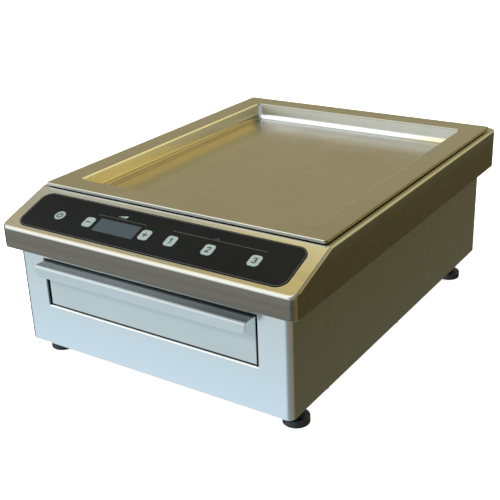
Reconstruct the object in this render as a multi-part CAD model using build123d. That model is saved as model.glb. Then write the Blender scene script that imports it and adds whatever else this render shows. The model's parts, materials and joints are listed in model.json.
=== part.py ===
from build123d import *
import math
import os

os.makedirs("parts", exist_ok=True)

# Countertop induction griddle: a sheet-metal casing under an overhanging hood, a recessed
# cooking plate in the hood's top, a keypad on the hood's sloped front and a grease drawer below.
# Millimetres. +Z is up, -Y is the front, X = 0 is the middle plane. The origin is the centre of
# the bounding box, on the surface that the feet stand on.

# ---------------------------------------------------------------- driving sizes
hood_width = 400.0
hood_depth = 546.0
hood_sheet = 1.5
hood_corner_radius = 9.5
hood_edge_radius = 3.0
knee_radius = 6.0
skirt_height = 26.5
slope_run = 74.5
slope_rise = 26.4

foot_height = 24.0
casing_to_skirt = 123.6
casing_sheet = 1.2
casing_inset_side = 13.0
casing_inset_front = 12.0
casing_inset_back = 20.0
casing_corner_radius = 9.5
casing_lap = 22.4
casing_flange = 8.0
base_gap = 0.5
vent_width = 3.8
vent_height = 36.0
vent_pitch = 12.0
vent_start = -12.0
vent_columns = 14
vent_rows = (24.0, 76.0)
rear_opening_inset = 27.0
rear_opening_sill = 10.0
panel_side_inset = 15.0
panel_bottom_gap = 0.6
panel_top_gap = 2.0
panel_screw_inset = 21.0
panel_screw_end = 18.0
base_screw_end = 80.0
casing_flange_radius = 3.0

plate_inset_side = 6.5
plate_inset_back = 12.0
plate_front_setback = 73.5
plate_sheet = 3.5
plate_corner_radius = 4.0
plate_edge_radius = 0.9
rim_width = 30.0
recess_depth = 21.0
recess_taper = 10.0
cove_radius = 8.0
rim_edge_radius = 2.0

gasket_height = 1.3
gasket_width = 11.0
gasket_inset = 4.0
gasket_outer_radius = 6.0
gasket_inner_radius = 4.0
hood_opening_inset = 24.0
hood_opening_radius = 6.0
hood_stud_length = 11.0
hood_stud_end = 40.0
hood_stud_inset = 7.0
plate_stud_radius = 2.5
plate_stud_length = 16.0
plate_stud_inset = 18.5
plate_stud_offset = 110.0
plate_stud_clearance = 0.3
plate_nut_flats = 8.0
plate_nut_height = 4.0

drain_radius = 11.0
drain_wall = 2.0
drain_flange_radius = 20.0
drain_flange_height = 1.5
drain_from_recess_edge = 25.0
drain_end_gap = 3.0
drain_clearance = 2.0

drawer_front_width = 289.0
drawer_front_height = 56.4
drawer_sheet = 1.2
drawer_setback = 2.0
drawer_side_gap = 2.8
drawer_top_gap = 1.7
drawer_bottom_gap = 1.2
drawer_return = 8.0
opening_return = 10.0
opening_bottom_height = 54.0
handle_proud = 5.5
handle_lip = 13.5
handle_bend = 5.0
handle_corner_radius = 7.0
tray_depth = 277.3
tray_top_gap = 5.6
tray_sheet = 1.0
tray_side_inset = 6.5
tray_rise = 2.8
tray_flange = 7.0
tray_flange_start = 12.0
tray_corner_radius = 6.0
drawer_stud_x = 100.0
drawer_stud_inset = 12.0
drawer_stud_length = 6.0

rail_sheet = 1.2
rail_gap = 0.4
rail_head_gap = 1.4
rail_start = 12.0
rail_foot = 9.0
rail_cover = 10.9
rail_to_tray = 1.6
rail_to_opening = 4.0
rail_end_gap = 1.5
stop_gap = 0.5
stop_height = 5.0
stop_radius = 6.0
stop_x = 90.0
bulkhead_side_gap = 4.0
bulkhead_top_gap = 1.0
bulkhead_foot = 12.0

key_width = 13.5
key_height = 16.0
key_corner_radius = 4.0
power_key_radius = 7.0
key_gap = 0.35
key_proud = 0.5
key_flange = 1.6
key_flange_height = 1.0
key_travel = 0.5
key_rest_gap = 0.3
key_edge_radius = 0.35
key_stem_radius = 2.0
key_flange_gap = 0.4
switch_drop = 2.5
switch_size = 6.0
switch_button_radius = 1.7
switch_button_height = 0.5
key_row = -3.7
overlay_width = 365.0
overlay_height = 61.0
overlay_corner_radius = 14.0
overlay_row = -0.7
overlay_sheet = 0.6
lcd_width = 58.0
lcd_height = 21.0
lcd_offset = -49.3
lcd_fit = 0.1
lcd_corner_radius = 1.0
lcd_module_margin = 3.0
lcd_module_gap = 0.5
board_width = 320.0
board_height = 42.0
board_drop = 8.0
board_sheet = 1.6
board_row = -2.0
board_corner_radius = 2.0
board_screw_u = 150.0
board_screw_v = 17.0
board_screw_gap = 0.6
board_spacer_radius = 3.0

foot_radius = 15.2
foot_pad_height = 9.0
foot_edge_radius = 1.2
foot_neck_radius = 8.5
foot_stud_radius = 4.0
foot_stud_length = 34.0
foot_stud_seat = 4.0
foot_nut_flats = 13.0
foot_nut_height = 5.0
foot_inset_side = 29.8
foot_inset_front = 48.0
foot_inset_back = 76.0

coil_radius = 80.0
coil_eye_radius = 25.0
coil_height = 6.0
coil_spacing = 172.0
coil_air_gap = 2.0
mica_sheet_height = 1.0
carrier_radius = 85.0
carrier_height = 4.0
coil_to_drain = 5.5
ferrite_length = 48.0
ferrite_width = 9.0
ferrite_height = 5.0
ferrites_per_coil = 8
ferrite_start = 4.0
coil_tray_width = 320.0
coil_tray_sheet = 1.5
coil_tray_margin_front = 1.0
coil_tray_margin_back = 3.0
mica_width = 300.0
crossbar_height = 15.0
crossbar_width = 30.0
crossbar_sheet = 1.5
crossbar_front_offset = 42.0
crossbar_back_offset = 36.0
sensor_radius = 4.0
sensor_clearance = 2.0

support_sheet = 1.5
support_flange = 13.8
support_height = 49.0
support_setback = 20.5
support_rear_gap = 11.0
rivet_drop = 4.3
rivet_end_front = 25.0
rivet_end_back = 15.0
rivet_tail = 2.5
rivet_head_height = 1.2
rivet_head_radius = 3.5

fan_size = 92.0
fan_height = 25.0
fan_bore_radius = 44.5
fan_tip_gap = 1.5
fan_hub_radius = 19.0
fan_shaft_radius = 2.0
fan_shaft_gap = 0.05
fan_blades = 7
fan_x = -100.0
fan_setback = 400.0
fan_screw_reach = 41.25
fan_corner_radius = 5.0
fan_hub_plate = 4.0
fan_spoke_width = 5.0
fan_spoke_height = 3.0
fan_rotor_gap = 0.6
fan_top_gap = 1.5
fan_shaft_end_gap = 0.4
fan_blade_chord = 24.0
fan_blade_sheet = 1.4
fan_blade_angle = 38.0
intake_pitch = 11.0
intake_rows = 3
intake_margin = 3.0

gland_x = -115.0
gland_height = 34.0
gland_bore_radius = 4.5
gland_thread_radius = 10.0
gland_fit = 0.1
gland_reach = 9.0
gland_collar_flats = 24.0
gland_collar_height = 5.0
gland_cap_radius = 11.0
gland_cap_height = 12.0
gland_cap_edge = 3.0
gland_nut_flats = 26.0
gland_nut_height = 5.0
terminal_width = 52.0
terminal_depth = 20.0
terminal_height = 20.0
terminal_setback = 466.0
terminal_pitch = 16.0
terminal_well_radius = 3.0
terminal_well_depth = 8.0
earth_stud_inset = 18.0
earth_stud_setback = 420.0
earth_stud_radius = 2.5
earth_stud_height = 16.0
earth_nut_flats = 8.0
earth_nut_height = 4.0

screw_fit = 0.05
screw_length = 9.0
screw_head_radius = 3.6
screw_head_height = 2.2
m3 = 1.5
m4 = 2.0
m3_head_radius = 2.8
m4_nut_flats = 7.0
m4_nut_height = 3.2
overcut = 2.0

# ---------------------------------------------------------------- levels and planes
front = -(hood_depth - handle_proud) / 2
back = front + hood_depth
half_width = hood_width / 2
casing_floor = foot_height
skirt_bottom = casing_floor + casing_to_skirt
nose_z = skirt_bottom + skirt_height
hood_top = nose_z + slope_rise
hood_under = hood_top - hood_sheet
rim_under = hood_top + gasket_height
plate_top = rim_under + plate_sheet
plate_under = plate_top - recess_depth - plate_sheet

casing_half = half_width - casing_inset_side
casing_front = front + casing_inset_front
casing_back = back - casing_inset_back
casing_top = skirt_bottom + casing_lap
casing_inner = casing_half - casing_sheet
base_z = casing_floor + casing_sheet
base_top = base_z + casing_sheet

plate_width = hood_width - 2 * plate_inset_side
plate_front = front + plate_front_setback
plate_back = back - plate_inset_back
plate_length = plate_back - plate_front
plate_mid = (plate_front + plate_back) / 2
recess_width = plate_width - 2 * rim_width
recess_length = plate_length - 2 * rim_width

drain_y = plate_front + rim_width + drain_from_recess_edge
drain_outer = drain_radius + drain_wall

drawer_half = drawer_front_width / 2
drawer_face = casing_front + drawer_setback
drawer_back_face = drawer_face + drawer_sheet
opening_half = drawer_half + drawer_side_gap
opening_bottom = casing_floor + opening_bottom_height
drawer_bottom = opening_bottom + drawer_bottom_gap
drawer_top = drawer_bottom + drawer_front_height
opening_top = drawer_top + drawer_sheet + drawer_top_gap
handle_face = front - handle_proud

tray_half = drawer_half - tray_side_inset
tray_bottom = drawer_bottom + tray_rise
tray_top = drawer_top - tray_top_gap
tray_back = drawer_back_face + tray_depth
rail_inner = tray_half + rail_to_tray
rail_outer = opening_half + rail_to_opening
rail_front = casing_front + rail_start
rail_back = tray_back + stop_gap + stop_height - rail_end_gap
rail_ledge = tray_top - tray_sheet - rail_gap
rail_top = tray_top + rail_cover
bulkhead_front = tray_back + stop_gap + stop_height
drain_end = tray_top + drain_end_gap

slope_angle = math.degrees(math.atan2(slope_rise, slope_run))
slope_normal = (0, -math.sin(math.radians(slope_angle)), math.cos(math.radians(slope_angle)))
slope_plane = Plane(
    origin=(0, front + slope_run / 2, nose_z + slope_rise / 2),
    x_dir=(1, 0, 0),
    z_dir=slope_normal,
)
board_top = -board_drop
switch_top = -hood_sheet - switch_drop
key_stop = switch_top + key_travel + key_rest_gap
key_top = overlay_sheet + key_proud
key_flange_top = -hood_sheet - key_flange_gap

mica_top = plate_under - coil_air_gap
coil_top = mica_top - mica_sheet_height
carrier_top = coil_top - coil_height
ferrite_top = carrier_top - carrier_height
coil_tray_top = ferrite_top - ferrite_height
crossbar_top = coil_tray_top - coil_tray_sheet
coil_front_y = drain_y + drain_outer + carrier_radius + coil_to_drain
coil_centres = (coil_front_y, coil_front_y + coil_spacing)
coil_tray_front = coil_front_y - carrier_radius - coil_tray_margin_front
coil_tray_back = coil_front_y + coil_spacing + carrier_radius + coil_tray_margin_back
crossbar_rows = (coil_front_y - crossbar_front_offset, coil_front_y + coil_spacing + crossbar_back_offset)
support_front = front + slope_run + support_setback
support_back = casing_back - support_rear_gap
support_leaf = casing_inner - support_sheet
support_flange_inner = casing_inner - support_flange
rivet_z = crossbar_top - rivet_drop
rivet_ends = (support_front + rivet_end_front, support_back - rivet_end_back)
rivet_rows = (rivet_ends[0], crossbar_rows[0], plate_mid, crossbar_rows[1], rivet_ends[1])
hood_stud_rows = (support_front + hood_stud_end, support_back - hood_stud_end)
hood_stud_x = casing_inner - hood_stud_inset

fan_y = front + fan_setback
gland_z = casing_floor + gland_height
panel_back = casing_back - casing_sheet
panel_front = panel_back - casing_sheet
panel_half = casing_half - panel_side_inset
panel_bottom = base_top + panel_bottom_gap
panel_top = casing_top - panel_top_gap
panel_screw_x = casing_half - panel_screw_inset
panel_screw_ends = (panel_bottom + panel_screw_end, panel_top - panel_screw_end)
panel_screw_rows = (panel_screw_ends[0], (panel_bottom + panel_top) / 2, panel_screw_ends[1])

foot_x = half_width - foot_inset_side
foot_places = [(x, y) for x in (-foot_x, foot_x) for y in (front + foot_inset_front, back - foot_inset_back)]
base_screw_x = casing_inner - casing_flange / 2
base_screw_ends = (casing_front + base_screw_end, casing_back - base_screw_end)
base_screw_rows = (base_screw_ends[0], (casing_front + casing_back) / 2, base_screw_ends[1])
key_places = {
    "key_power": -134.0,
    "key_minus": -90.0,
    "key_plus": -8.5,
    "key_preset_1": 26.7,
    "key_preset_2": 75.9,
    "key_preset_3": 133.5,
}
board_screws = [
    (u, v)
    for u in (-board_screw_u, board_screw_u)
    for v in (board_row - board_screw_v, board_row + board_screw_v)
]
plate_studs = [
    (x, y)
    for x in (-plate_stud_offset, plate_stud_offset)
    for y in (plate_front + plate_stud_inset, plate_back - plate_stud_inset)
]

power_board = {"x0": 0.0, "x1": 160.0, "y0": front + 322.0, "y1": front + 502.0, "z": base_top + 13.6}
heatsink = {"x0": 18.0, "x1": 90.0, "y0": front + 340.0, "y1": front + 484.0, "base": 4.0, "fin": 29.0}
post_inset = 6.0
post_radius = 3.5
heatsink_pitch = 7.75
heatsink_fin = 2.0
package_height = 5.4
transistor_size = (21.0, 16.0)
transistor_inset = 14.0
transistor_rows = (16.0, 46.0, 76.0)
rectifier_size = 28.0
rectifier_inset = 12.0
rectifier_from_end = 36.0
capacitor_size = (42.0, 20.0, 37.0)
capacitor_corner_radius = 1.5
capacitor_gap = 14.0
capacitor_rows = (26.0, 58.0)
choke_radius = 16.0
choke_thickness = 7.0
choke_gap = 34.0
choke_row = 120.0


# ---------------------------------------------------------------- helpers
def block(x0, x1, y0, y1, z0, z1):
    return Pos((x0 + x1) / 2, (y0 + y1) / 2, (z0 + z1) / 2) * Box(x1 - x0, y1 - y0, z1 - z0)


def rod(x, y, z0, z1, radius):
    return Pos(x, y, (z0 + z1) / 2) * Cylinder(radius, z1 - z0)


def rod_y(x, z, y0, y1, radius):
    return Pos(x, (y0 + y1) / 2, z) * Rot(90, 0, 0) * Cylinder(radius, y1 - y0)


def rod_x(y, z, x0, x1, radius):
    return Pos((x0 + x1) / 2, y, z) * Rot(0, 90, 0) * Cylinder(radius, x1 - x0)


def hexagon(x, y, z0, z1, flats):
    outline = RegularPolygon(flats / 2, 6, major_radius=False)
    return Pos(x, y, z0) * extrude(outline, z1 - z0)


def nut(x, y, z0, z1, flats, bore):
    return hexagon(x, y, z0, z1, flats) - rod(x, y, z0, z1, bore)


def rounded_block(width, length, radius, x, y, z0, z1):
    return Pos(x, y, z0) * extrude(RectangleRounded(width, length, radius), z1 - z0)


def slope_block(u, v, width, height, radius, w0, w1):
    outline = RectangleRounded(width, height, radius) if radius else Rectangle(width, height)
    return slope_plane * Pos(u, v, w0) * extrude(outline, w1 - w0)


def slope_rod(u, v, radius, w0, w1):
    return slope_plane * Pos(u, v, (w0 + w1) / 2) * Cylinder(radius, w1 - w0)


def edges_along(part, direction, low, high, key):
    return [e for e in part.edges().filter_by(direction) if low < key(e.center()) < high]


def save(name, shape):
    shape.label = name
    export_step(shape, f"parts/{name}.step")


def save_group(name, shapes):
    save(name, Compound(children=[s.solid() for s in shapes]))


# ---------------------------------------------------------------- hood and plate
def hood_form(inset, floor):
    """The hood's outside, or the same shape shrunk by a sheet to hollow it out."""
    angle = math.radians(slope_angle)
    y0 = front + inset
    nose = nose_z + inset * math.tan(angle) - inset / math.cos(angle)
    top = hood_top - inset
    knee = y0 + (top - nose) / math.tan(angle)
    y1 = back - inset
    profile = Polyline((y0, floor), (y0, nose), (knee, top), (y1, top), (y1, floor), close=True)
    side = Plane(origin=(-half_width + inset, 0, 0), x_dir=(0, 1, 0), z_dir=(1, 0, 0))
    form = extrude(side * make_face(profile), hood_width - 2 * inset)
    knee_edge = edges_along(form, Axis.X, knee - 1, knee + 1, lambda c: c.Y)
    form = fillet(knee_edge, knee_radius - inset)
    form = fillet(form.edges().filter_by(Axis.Z), hood_corner_radius - inset)
    crown = [e for e in form.edges() if e.center().Z > nose - 1 and not on_knee(e, inset)]
    return fillet(crown, hood_edge_radius - inset)


def on_knee(edge, inset):
    return edge.length > hood_width - 2 * hood_corner_radius - 1 and edge_inside(edge, inset)


def edge_inside(edge, inset):
    y = edge.center().Y
    return front + inset + 5 < y < back - inset - 5


def make_hood():
    shell = hood_form(0, skirt_bottom) - hood_form(hood_sheet, skirt_bottom - overcut)
    opening_width = plate_width - 2 * hood_opening_inset
    opening_length = plate_length - 2 * hood_opening_inset
    z0 = hood_under - overcut
    z1 = hood_top + overcut
    shell -= rounded_block(opening_width, opening_length, hood_opening_radius, 0, plate_mid, z0, z1)
    for x, y in plate_studs:
        shell -= rod(x, y, z0, z1, plate_stud_radius + plate_stud_clearance)
    for name, u in key_places.items():
        shell -= key_outline(name, u, key_gap, -hood_sheet - overcut, overcut)
    return shell - lcd_opening()


def tub(grow):
    """The recess as a solid, tapered inwards, with coved corners and bottom edges."""
    spread = 2 * grow / math.cos(math.radians(recess_taper))
    outline = Rectangle(recess_width + spread, recess_length + spread)
    form = extrude(Plane.XY * outline, -recess_depth - grow, taper=recess_taper)
    form = fillet([e for e in form.edges() if e.center().Z < -0.01], cove_radius + grow)
    return Pos(0, plate_mid, plate_top) * form


def make_griddle_plate():
    rim = rounded_block(plate_width, plate_length, plate_corner_radius, 0, plate_mid, rim_under, plate_top)
    plate = rim + tub(plate_sheet)
    plate -= tub(0)
    plate -= rod(0, drain_y, plate_under - overcut, plate_top, drain_radius)
    top_face = plate.faces().filter_by(Axis.Z).sort_by(Axis.Z)[-1]
    plate = fillet(top_face.outer_wire().edges(), plate_edge_radius)
    top_face = plate.faces().filter_by(Axis.Z).sort_by(Axis.Z)[-1]
    return fillet(top_face.inner_wires()[0].edges(), rim_edge_radius)


def make_plate_gasket():
    width = plate_width - 2 * gasket_inset
    length = plate_length - 2 * gasket_inset
    ring = rounded_block(width, length, gasket_outer_radius, 0, plate_mid, hood_top, rim_under)
    inner_width = width - 2 * gasket_width
    inner_length = length - 2 * gasket_width
    hollow = rounded_block(inner_width, inner_length, gasket_inner_radius, 0, plate_mid, hood_top, rim_under)
    return ring - hollow


def make_plate_studs():
    return [rod(x, y, rim_under - plate_stud_length, rim_under, plate_stud_radius) for x, y in plate_studs]


def make_plate_nuts():
    z0 = hood_under - plate_nut_height
    return [nut(x, y, z0, hood_under, plate_nut_flats, plate_stud_radius) for x, y in plate_studs]


def make_drain_spout():
    flange = rod(0, drain_y, plate_under - drain_flange_height, plate_under, drain_flange_radius)
    spout = flange + rod(0, drain_y, drain_end, plate_under, drain_outer)
    return spout - rod(0, drain_y, drain_end, plate_under, drain_radius)


def make_hood_studs():
    return [
        rod(x, y, hood_under - hood_stud_length, hood_under, m4)
        for x in (-hood_stud_x, hood_stud_x)
        for y in hood_stud_rows
    ]


def make_hood_nuts():
    top = hood_under - support_sheet
    return [
        nut(x, y, top - m4_nut_height, top, m4_nut_flats, m4)
        for x in (-hood_stud_x, hood_stud_x)
        for y in hood_stud_rows
    ]


# ---------------------------------------------------------------- control panel
def key_outline(name, u, grow, w0, w1):
    if name == "key_power":
        return slope_rod(u, key_row, power_key_radius + grow, w0, w1)
    width = key_width + 2 * grow
    height = key_height + 2 * grow
    return slope_block(u, key_row, width, height, key_corner_radius + grow, w0, w1)


def make_key(name, u):
    cap = key_outline(name, u, 0, key_flange_top, key_top)
    top = max(cap.faces(), key=lambda f: f.center().Z)
    cap = fillet(top.outer_wire().edges(), key_edge_radius)
    flange = key_outline(name, u, key_flange, key_flange_top - key_flange_height, key_flange_top)
    stem = slope_rod(u, key_row, key_stem_radius, key_stop, key_flange_top - key_flange_height)
    return cap + flange + stem


def make_control_overlay():
    radius = overlay_corner_radius
    sheet = slope_block(0, overlay_row, overlay_width, overlay_height, radius, 0, overlay_sheet)
    for name, u in key_places.items():
        sheet -= key_outline(name, u, key_gap, -overcut, overcut)
    return sheet - lcd_opening()


def lcd_opening():
    width = lcd_width + 2 * lcd_fit
    height = lcd_height + 2 * lcd_fit
    return slope_block(lcd_offset, key_row, width, height, lcd_corner_radius, -hood_sheet - overcut, overcut)


def make_lcd_window():
    radius = lcd_corner_radius
    return slope_block(lcd_offset, key_row, lcd_width, lcd_height, radius, -hood_sheet, overlay_sheet)


def make_lcd_module():
    width = lcd_width + 2 * lcd_module_margin
    height = lcd_height + 2 * lcd_module_margin
    top = -hood_sheet - lcd_module_gap
    return slope_block(lcd_offset, key_row, width, height, lcd_corner_radius, board_top, top)


def make_display_board():
    under = board_top - board_sheet
    board = slope_block(0, board_row, board_width, board_height, board_corner_radius, under, board_top)
    for u, v in board_screws:
        board -= slope_rod(u, v, m3 + screw_fit, under, board_top)
    return board


def make_key_switches():
    switches = []
    body_top = switch_top - switch_button_height
    for u in key_places.values():
        body = slope_block(u, key_row, switch_size, switch_size, 0, board_top, body_top)
        switches.append(body + slope_rod(u, key_row, switch_button_radius, body_top, switch_top))
    return switches


def make_board_spacers():
    spacers = []
    for u, v in board_screws:
        tube = slope_rod(u, v, board_spacer_radius, board_top, -hood_sheet)
        spacers.append(tube - slope_rod(u, v, m3 + screw_fit, board_top, -hood_sheet))
    return spacers


def make_board_screws():
    screws = []
    under = board_top - board_sheet
    for u, v in board_screws:
        head = slope_rod(u, v, m3_head_radius, under - screw_head_height, under)
        screws.append(head + slope_rod(u, v, m3, under, -hood_sheet - board_screw_gap))
    return screws


# ---------------------------------------------------------------- casing
def make_casing():
    width = 2 * casing_half
    length = casing_back - casing_front
    mid = (casing_front + casing_back) / 2
    shell = rounded_block(width, length, casing_corner_radius, 0, mid, casing_floor, casing_top)
    inner_radius = casing_corner_radius - casing_sheet
    shell -= rounded_block(
        width - 2 * casing_sheet, length - 2 * casing_sheet, inner_radius, 0, mid, base_z, casing_top
    )
    trim = 2 * (casing_sheet + casing_flange)
    shell -= rounded_block(width - trim, length - trim, casing_flange_radius, 0, mid, casing_floor, base_z)
    rear_half = casing_half - rear_opening_inset
    sill = base_z + rear_opening_sill
    shell -= block(-rear_half, rear_half, panel_back - overcut, casing_back + overcut, sill, casing_top)
    shell += drawer_frame(casing_sheet, casing_front, casing_front + opening_return)
    shell -= drawer_frame(0, casing_front - overcut, casing_front + opening_return + overcut)
    for y in rivet_rows:
        shell -= rod_x(y, rivet_z, -casing_half - overcut, casing_half + overcut, m4 + screw_fit)
    for x in (-panel_screw_x, panel_screw_x):
        for z in panel_screw_rows:
            shell -= rod_y(x, z, panel_back - overcut, casing_back + overcut, m4 + screw_fit)
    for x in (-base_screw_x, base_screw_x):
        for y in base_screw_rows:
            shell -= rod(x, y, casing_floor, base_z, m4 + screw_fit)
    return shell


def drawer_frame(grow, y0, y1):
    half = opening_half + grow
    return block(-half, half, y0, y1, opening_bottom - grow, opening_top + grow)


def make_rear_panel():
    panel = block(-panel_half, panel_half, panel_front, panel_back, panel_bottom, panel_top)
    for column in range(vent_columns):
        x = vent_start + vent_pitch * column
        for row in vent_rows:
            slot = Pos(x, panel_front, panel_bottom + row + vent_height / 2)
            outline = SlotOverall(vent_height, vent_width, rotation=90)
            slot *= Rot(-90, 0, 0) * extrude(outline, casing_sheet)
            panel -= slot
    panel -= rod_y(gland_x, gland_z, panel_front, panel_back, gland_thread_radius + gland_fit)
    for x in (-panel_screw_x, panel_screw_x):
        for z in panel_screw_rows:
            panel -= rod_y(x, z, panel_front, panel_back, m4 + screw_fit)
    return panel


def make_base_plate():
    half = casing_inner - base_gap
    y0 = casing_front + casing_sheet + base_gap
    y1 = panel_back - base_gap
    radius = casing_corner_radius - casing_sheet
    plate = rounded_block(2 * half, y1 - y0, radius, 0, (y0 + y1) / 2, base_z, base_top)
    for x, y in foot_places:
        plate -= rod(x, y, base_z, base_top, foot_stud_radius + screw_fit)
    for x in (-base_screw_x, base_screw_x):
        for y in base_screw_rows:
            plate -= rod(x, y, base_z, base_top, m4 + screw_fit)
    for row in range(-intake_rows, intake_rows + 1):
        offset = intake_pitch * row
        reach = math.sqrt((fan_bore_radius - intake_margin) ** 2 - offset**2)
        slot = SlotOverall(2 * reach, vent_width)
        plate -= Pos(fan_x, fan_y + offset, base_z) * extrude(slot, casing_sheet)
    for x, y in fan_corners():
        plate -= rod(x, y, base_z, base_top, m4 + screw_fit)
    return plate


def make_casing_screws():
    """The same round-headed screw in the rear panel, in the floor's edges and in the fan's corners."""
    screws = []
    for x in (-panel_screw_x, panel_screw_x):
        for z in panel_screw_rows:
            head = rod_y(x, z, casing_back, casing_back + screw_head_height, screw_head_radius)
            screws.append(head + rod_y(x, z, casing_back - screw_length, casing_back, m4))
    upward = [(x, y, casing_floor) for x in (-base_screw_x, base_screw_x) for y in base_screw_rows]
    upward += [(x, y, base_z) for x, y in fan_corners()]
    for x, y, z in upward:
        head = rod(x, y, z - screw_head_height, z, screw_head_radius)
        screws.append(head + rod(x, y, z, z + screw_length, m4))
    return screws


def make_foot(x, y):
    pad = fillet(rod(x, y, 0, foot_pad_height, foot_radius).edges(), foot_edge_radius)
    neck_top = base_z - foot_nut_height
    pad += rod(x, y, foot_pad_height - foot_edge_radius, neck_top, foot_neck_radius)
    return pad - rod(x, y, foot_stud_seat, neck_top, foot_stud_radius)


def make_foot_studs():
    top = foot_stud_seat + foot_stud_length
    return [rod(x, y, foot_stud_seat, top, foot_stud_radius) for x, y in foot_places]


def make_foot_nuts():
    """A locknut under each corner of the casing's floor and a second nut above it."""
    nuts = []
    for x, y in foot_places:
        for z in (base_z - foot_nut_height, base_top):
            nuts.append(nut(x, y, z, z + foot_nut_height, foot_nut_flats, foot_stud_radius))
    return nuts


def make_hood_support(side):
    """An angle bracket that carries the hood's top edge and the ends of the coil crossbars."""
    x_leaf = sorted((side * casing_inner, side * support_leaf))
    x_flange = sorted((side * casing_inner, side * support_flange_inner))
    z0 = hood_under - support_height
    bracket = block(*x_leaf, support_front, support_back, z0, hood_under)
    bracket += block(*x_flange, support_front, support_back, hood_under - support_sheet, hood_under)
    for y in rivet_rows:
        bracket -= rod_x(y, rivet_z, *x_leaf, m4 + screw_fit)
    for y in hood_stud_rows:
        bracket -= rod(side * hood_stud_x, y, hood_under - support_sheet, hood_under, m4 + screw_fit)
    return bracket


def make_side_rivets():
    rivets = []
    for side in (-1, 1):
        for y in rivet_rows:
            shank = sorted((side * (support_leaf - rivet_tail), side * casing_half))
            head = sorted((side * casing_half, side * (casing_half + rivet_head_height)))
            rivet = rod_x(y, rivet_z, *shank, m4)
            rivets.append(rivet + rod_x(y, rivet_z, *head, rivet_head_radius))
    return rivets


# ---------------------------------------------------------------- drawer and its bay
def make_drawer_front():
    panel = block(-drawer_half, drawer_half, drawer_face, drawer_back_face, drawer_bottom, drawer_top)
    reach = drawer_back_face + drawer_return
    panel += block(-drawer_half, drawer_half, drawer_face, reach, drawer_bottom, drawer_bottom + drawer_sheet)
    for side in (-1, 1):
        x0, x1 = sorted((side * drawer_half, side * (drawer_half - drawer_sheet)))
        panel += block(x0, x1, drawer_face, reach, drawer_bottom, drawer_top)
    return panel


def make_drawer_handle():
    """A strip on the drawer's top edge, bent forward and then down into a finger lip."""
    z1 = drawer_top + drawer_sheet
    z0 = z1 - handle_lip
    outer = Polyline(
        (drawer_back_face, z1), (handle_face, z1), (handle_face, z0),
        (handle_face + drawer_sheet, z0), (handle_face + drawer_sheet, drawer_top),
        (drawer_back_face, drawer_top), close=True,
    )
    side = Plane(origin=(-drawer_half, 0, 0), x_dir=(0, 1, 0), z_dir=(1, 0, 0))
    strip = extrude(side * make_face(outer), drawer_front_width)
    crook = handle_face + drawer_sheet
    strip = fillet(bend_edge(strip, crook, drawer_top), handle_bend - drawer_sheet)
    strip = fillet(bend_edge(strip, handle_face, z1), handle_bend)
    lip_edges = strip.edges().filter_by(Axis.Y)
    corners = [e for e in lip_edges if abs(e.center().Z - z0) < 0.1]
    return fillet(corners, handle_corner_radius)


def bend_edge(strip, y, z):
    edges = strip.edges().filter_by(Axis.X)
    return [e for e in edges if abs(e.center().Y - y) < 0.1 and abs(e.center().Z - z) < 0.1]


def make_drawer_tray():
    y_mid = (drawer_back_face + tray_back) / 2
    tray = rounded_block(2 * tray_half, tray_depth, tray_corner_radius, 0, y_mid, tray_bottom, tray_top)
    inner = tray_corner_radius - tray_sheet
    tray -= rounded_block(
        2 * (tray_half - tray_sheet), tray_depth - 2 * tray_sheet, inner,
        0, y_mid, tray_bottom + tray_sheet, tray_top,
    )
    for side in (-1, 1):
        x0, x1 = sorted((side * (tray_half - tray_sheet / 2), side * (tray_half + tray_flange)))
        y0 = drawer_back_face + tray_flange_start
        y1 = tray_back - tray_corner_radius
        tray += block(x0, x1, y0, y1, tray_top - tray_sheet, tray_top)
    for x, z in drawer_studs():
        tray -= rod_y(x, z, drawer_back_face, drawer_back_face + tray_sheet, m4 + screw_fit)
    return tray


def drawer_studs():
    rows = (tray_bottom + drawer_stud_inset, tray_top - drawer_stud_inset)
    return [(x, z) for x in (-drawer_stud_x, drawer_stud_x) for z in rows]


def make_drawer_studs():
    end = drawer_back_face + drawer_stud_length
    return [rod_y(x, z, drawer_back_face, end, m4) for x, z in drawer_studs()]


def make_drawer_nuts():
    seat = drawer_back_face + tray_sheet
    outline = RegularPolygon(m4_nut_flats / 2, 6, major_radius=False)
    nuts = []
    for x, z in drawer_studs():
        blank = Pos(x, seat, z) * Rot(-90, 0, 0) * extrude(outline, m4_nut_height)
        nuts.append(blank - rod_y(x, z, seat, seat + m4_nut_height, m4))
    return nuts


def make_drawer_rail(side):
    """A folded side wall of the drawer bay, with a ledge under and a ledge over the tray's flange."""
    web = sorted((side * rail_outer, side * (rail_outer - rail_sheet)))
    ledge = sorted((side * rail_outer, side * rail_inner))
    foot = sorted((side * rail_outer, side * (rail_outer + rail_foot)))
    rail = block(*web, rail_front, rail_back, base_top, rail_top)
    rail += block(*ledge, rail_front, rail_back, rail_ledge - rail_sheet, rail_ledge)
    over = tray_top + rail_head_gap
    rail += block(*ledge, rail_front, rail_back, over, over + rail_sheet)
    rail += block(*foot, rail_front, rail_back, base_top, base_top + rail_sheet)
    rail += block(*foot, rail_front, rail_back, rail_top - rail_sheet, rail_top)
    return rail


def make_drip_shield():
    """The sheet over the drawer bay that keeps grease vapour off the coils."""
    half = rail_outer + rail_foot
    shield = block(-half, half, rail_front, rail_back, rail_top, rail_top + rail_sheet)
    return shield - rod(0, drain_y, rail_top, rail_top + rail_sheet, drain_outer + drain_clearance)


def make_bulkhead():
    half = casing_inner - bulkhead_side_gap
    top = crossbar_top - crossbar_height - bulkhead_top_gap
    wall = block(-half, half, bulkhead_front, bulkhead_front + rail_sheet, base_top, top)
    foot_y = bulkhead_front + bulkhead_foot
    return wall + block(-half, half, bulkhead_front, foot_y, base_top, base_top + rail_sheet)


def make_drawer_stops():
    z = (tray_bottom + tray_top) / 2
    start = bulkhead_front - stop_height
    return [rod_y(x, z, start, bulkhead_front, stop_radius) for x in (-stop_x, stop_x)]


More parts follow.
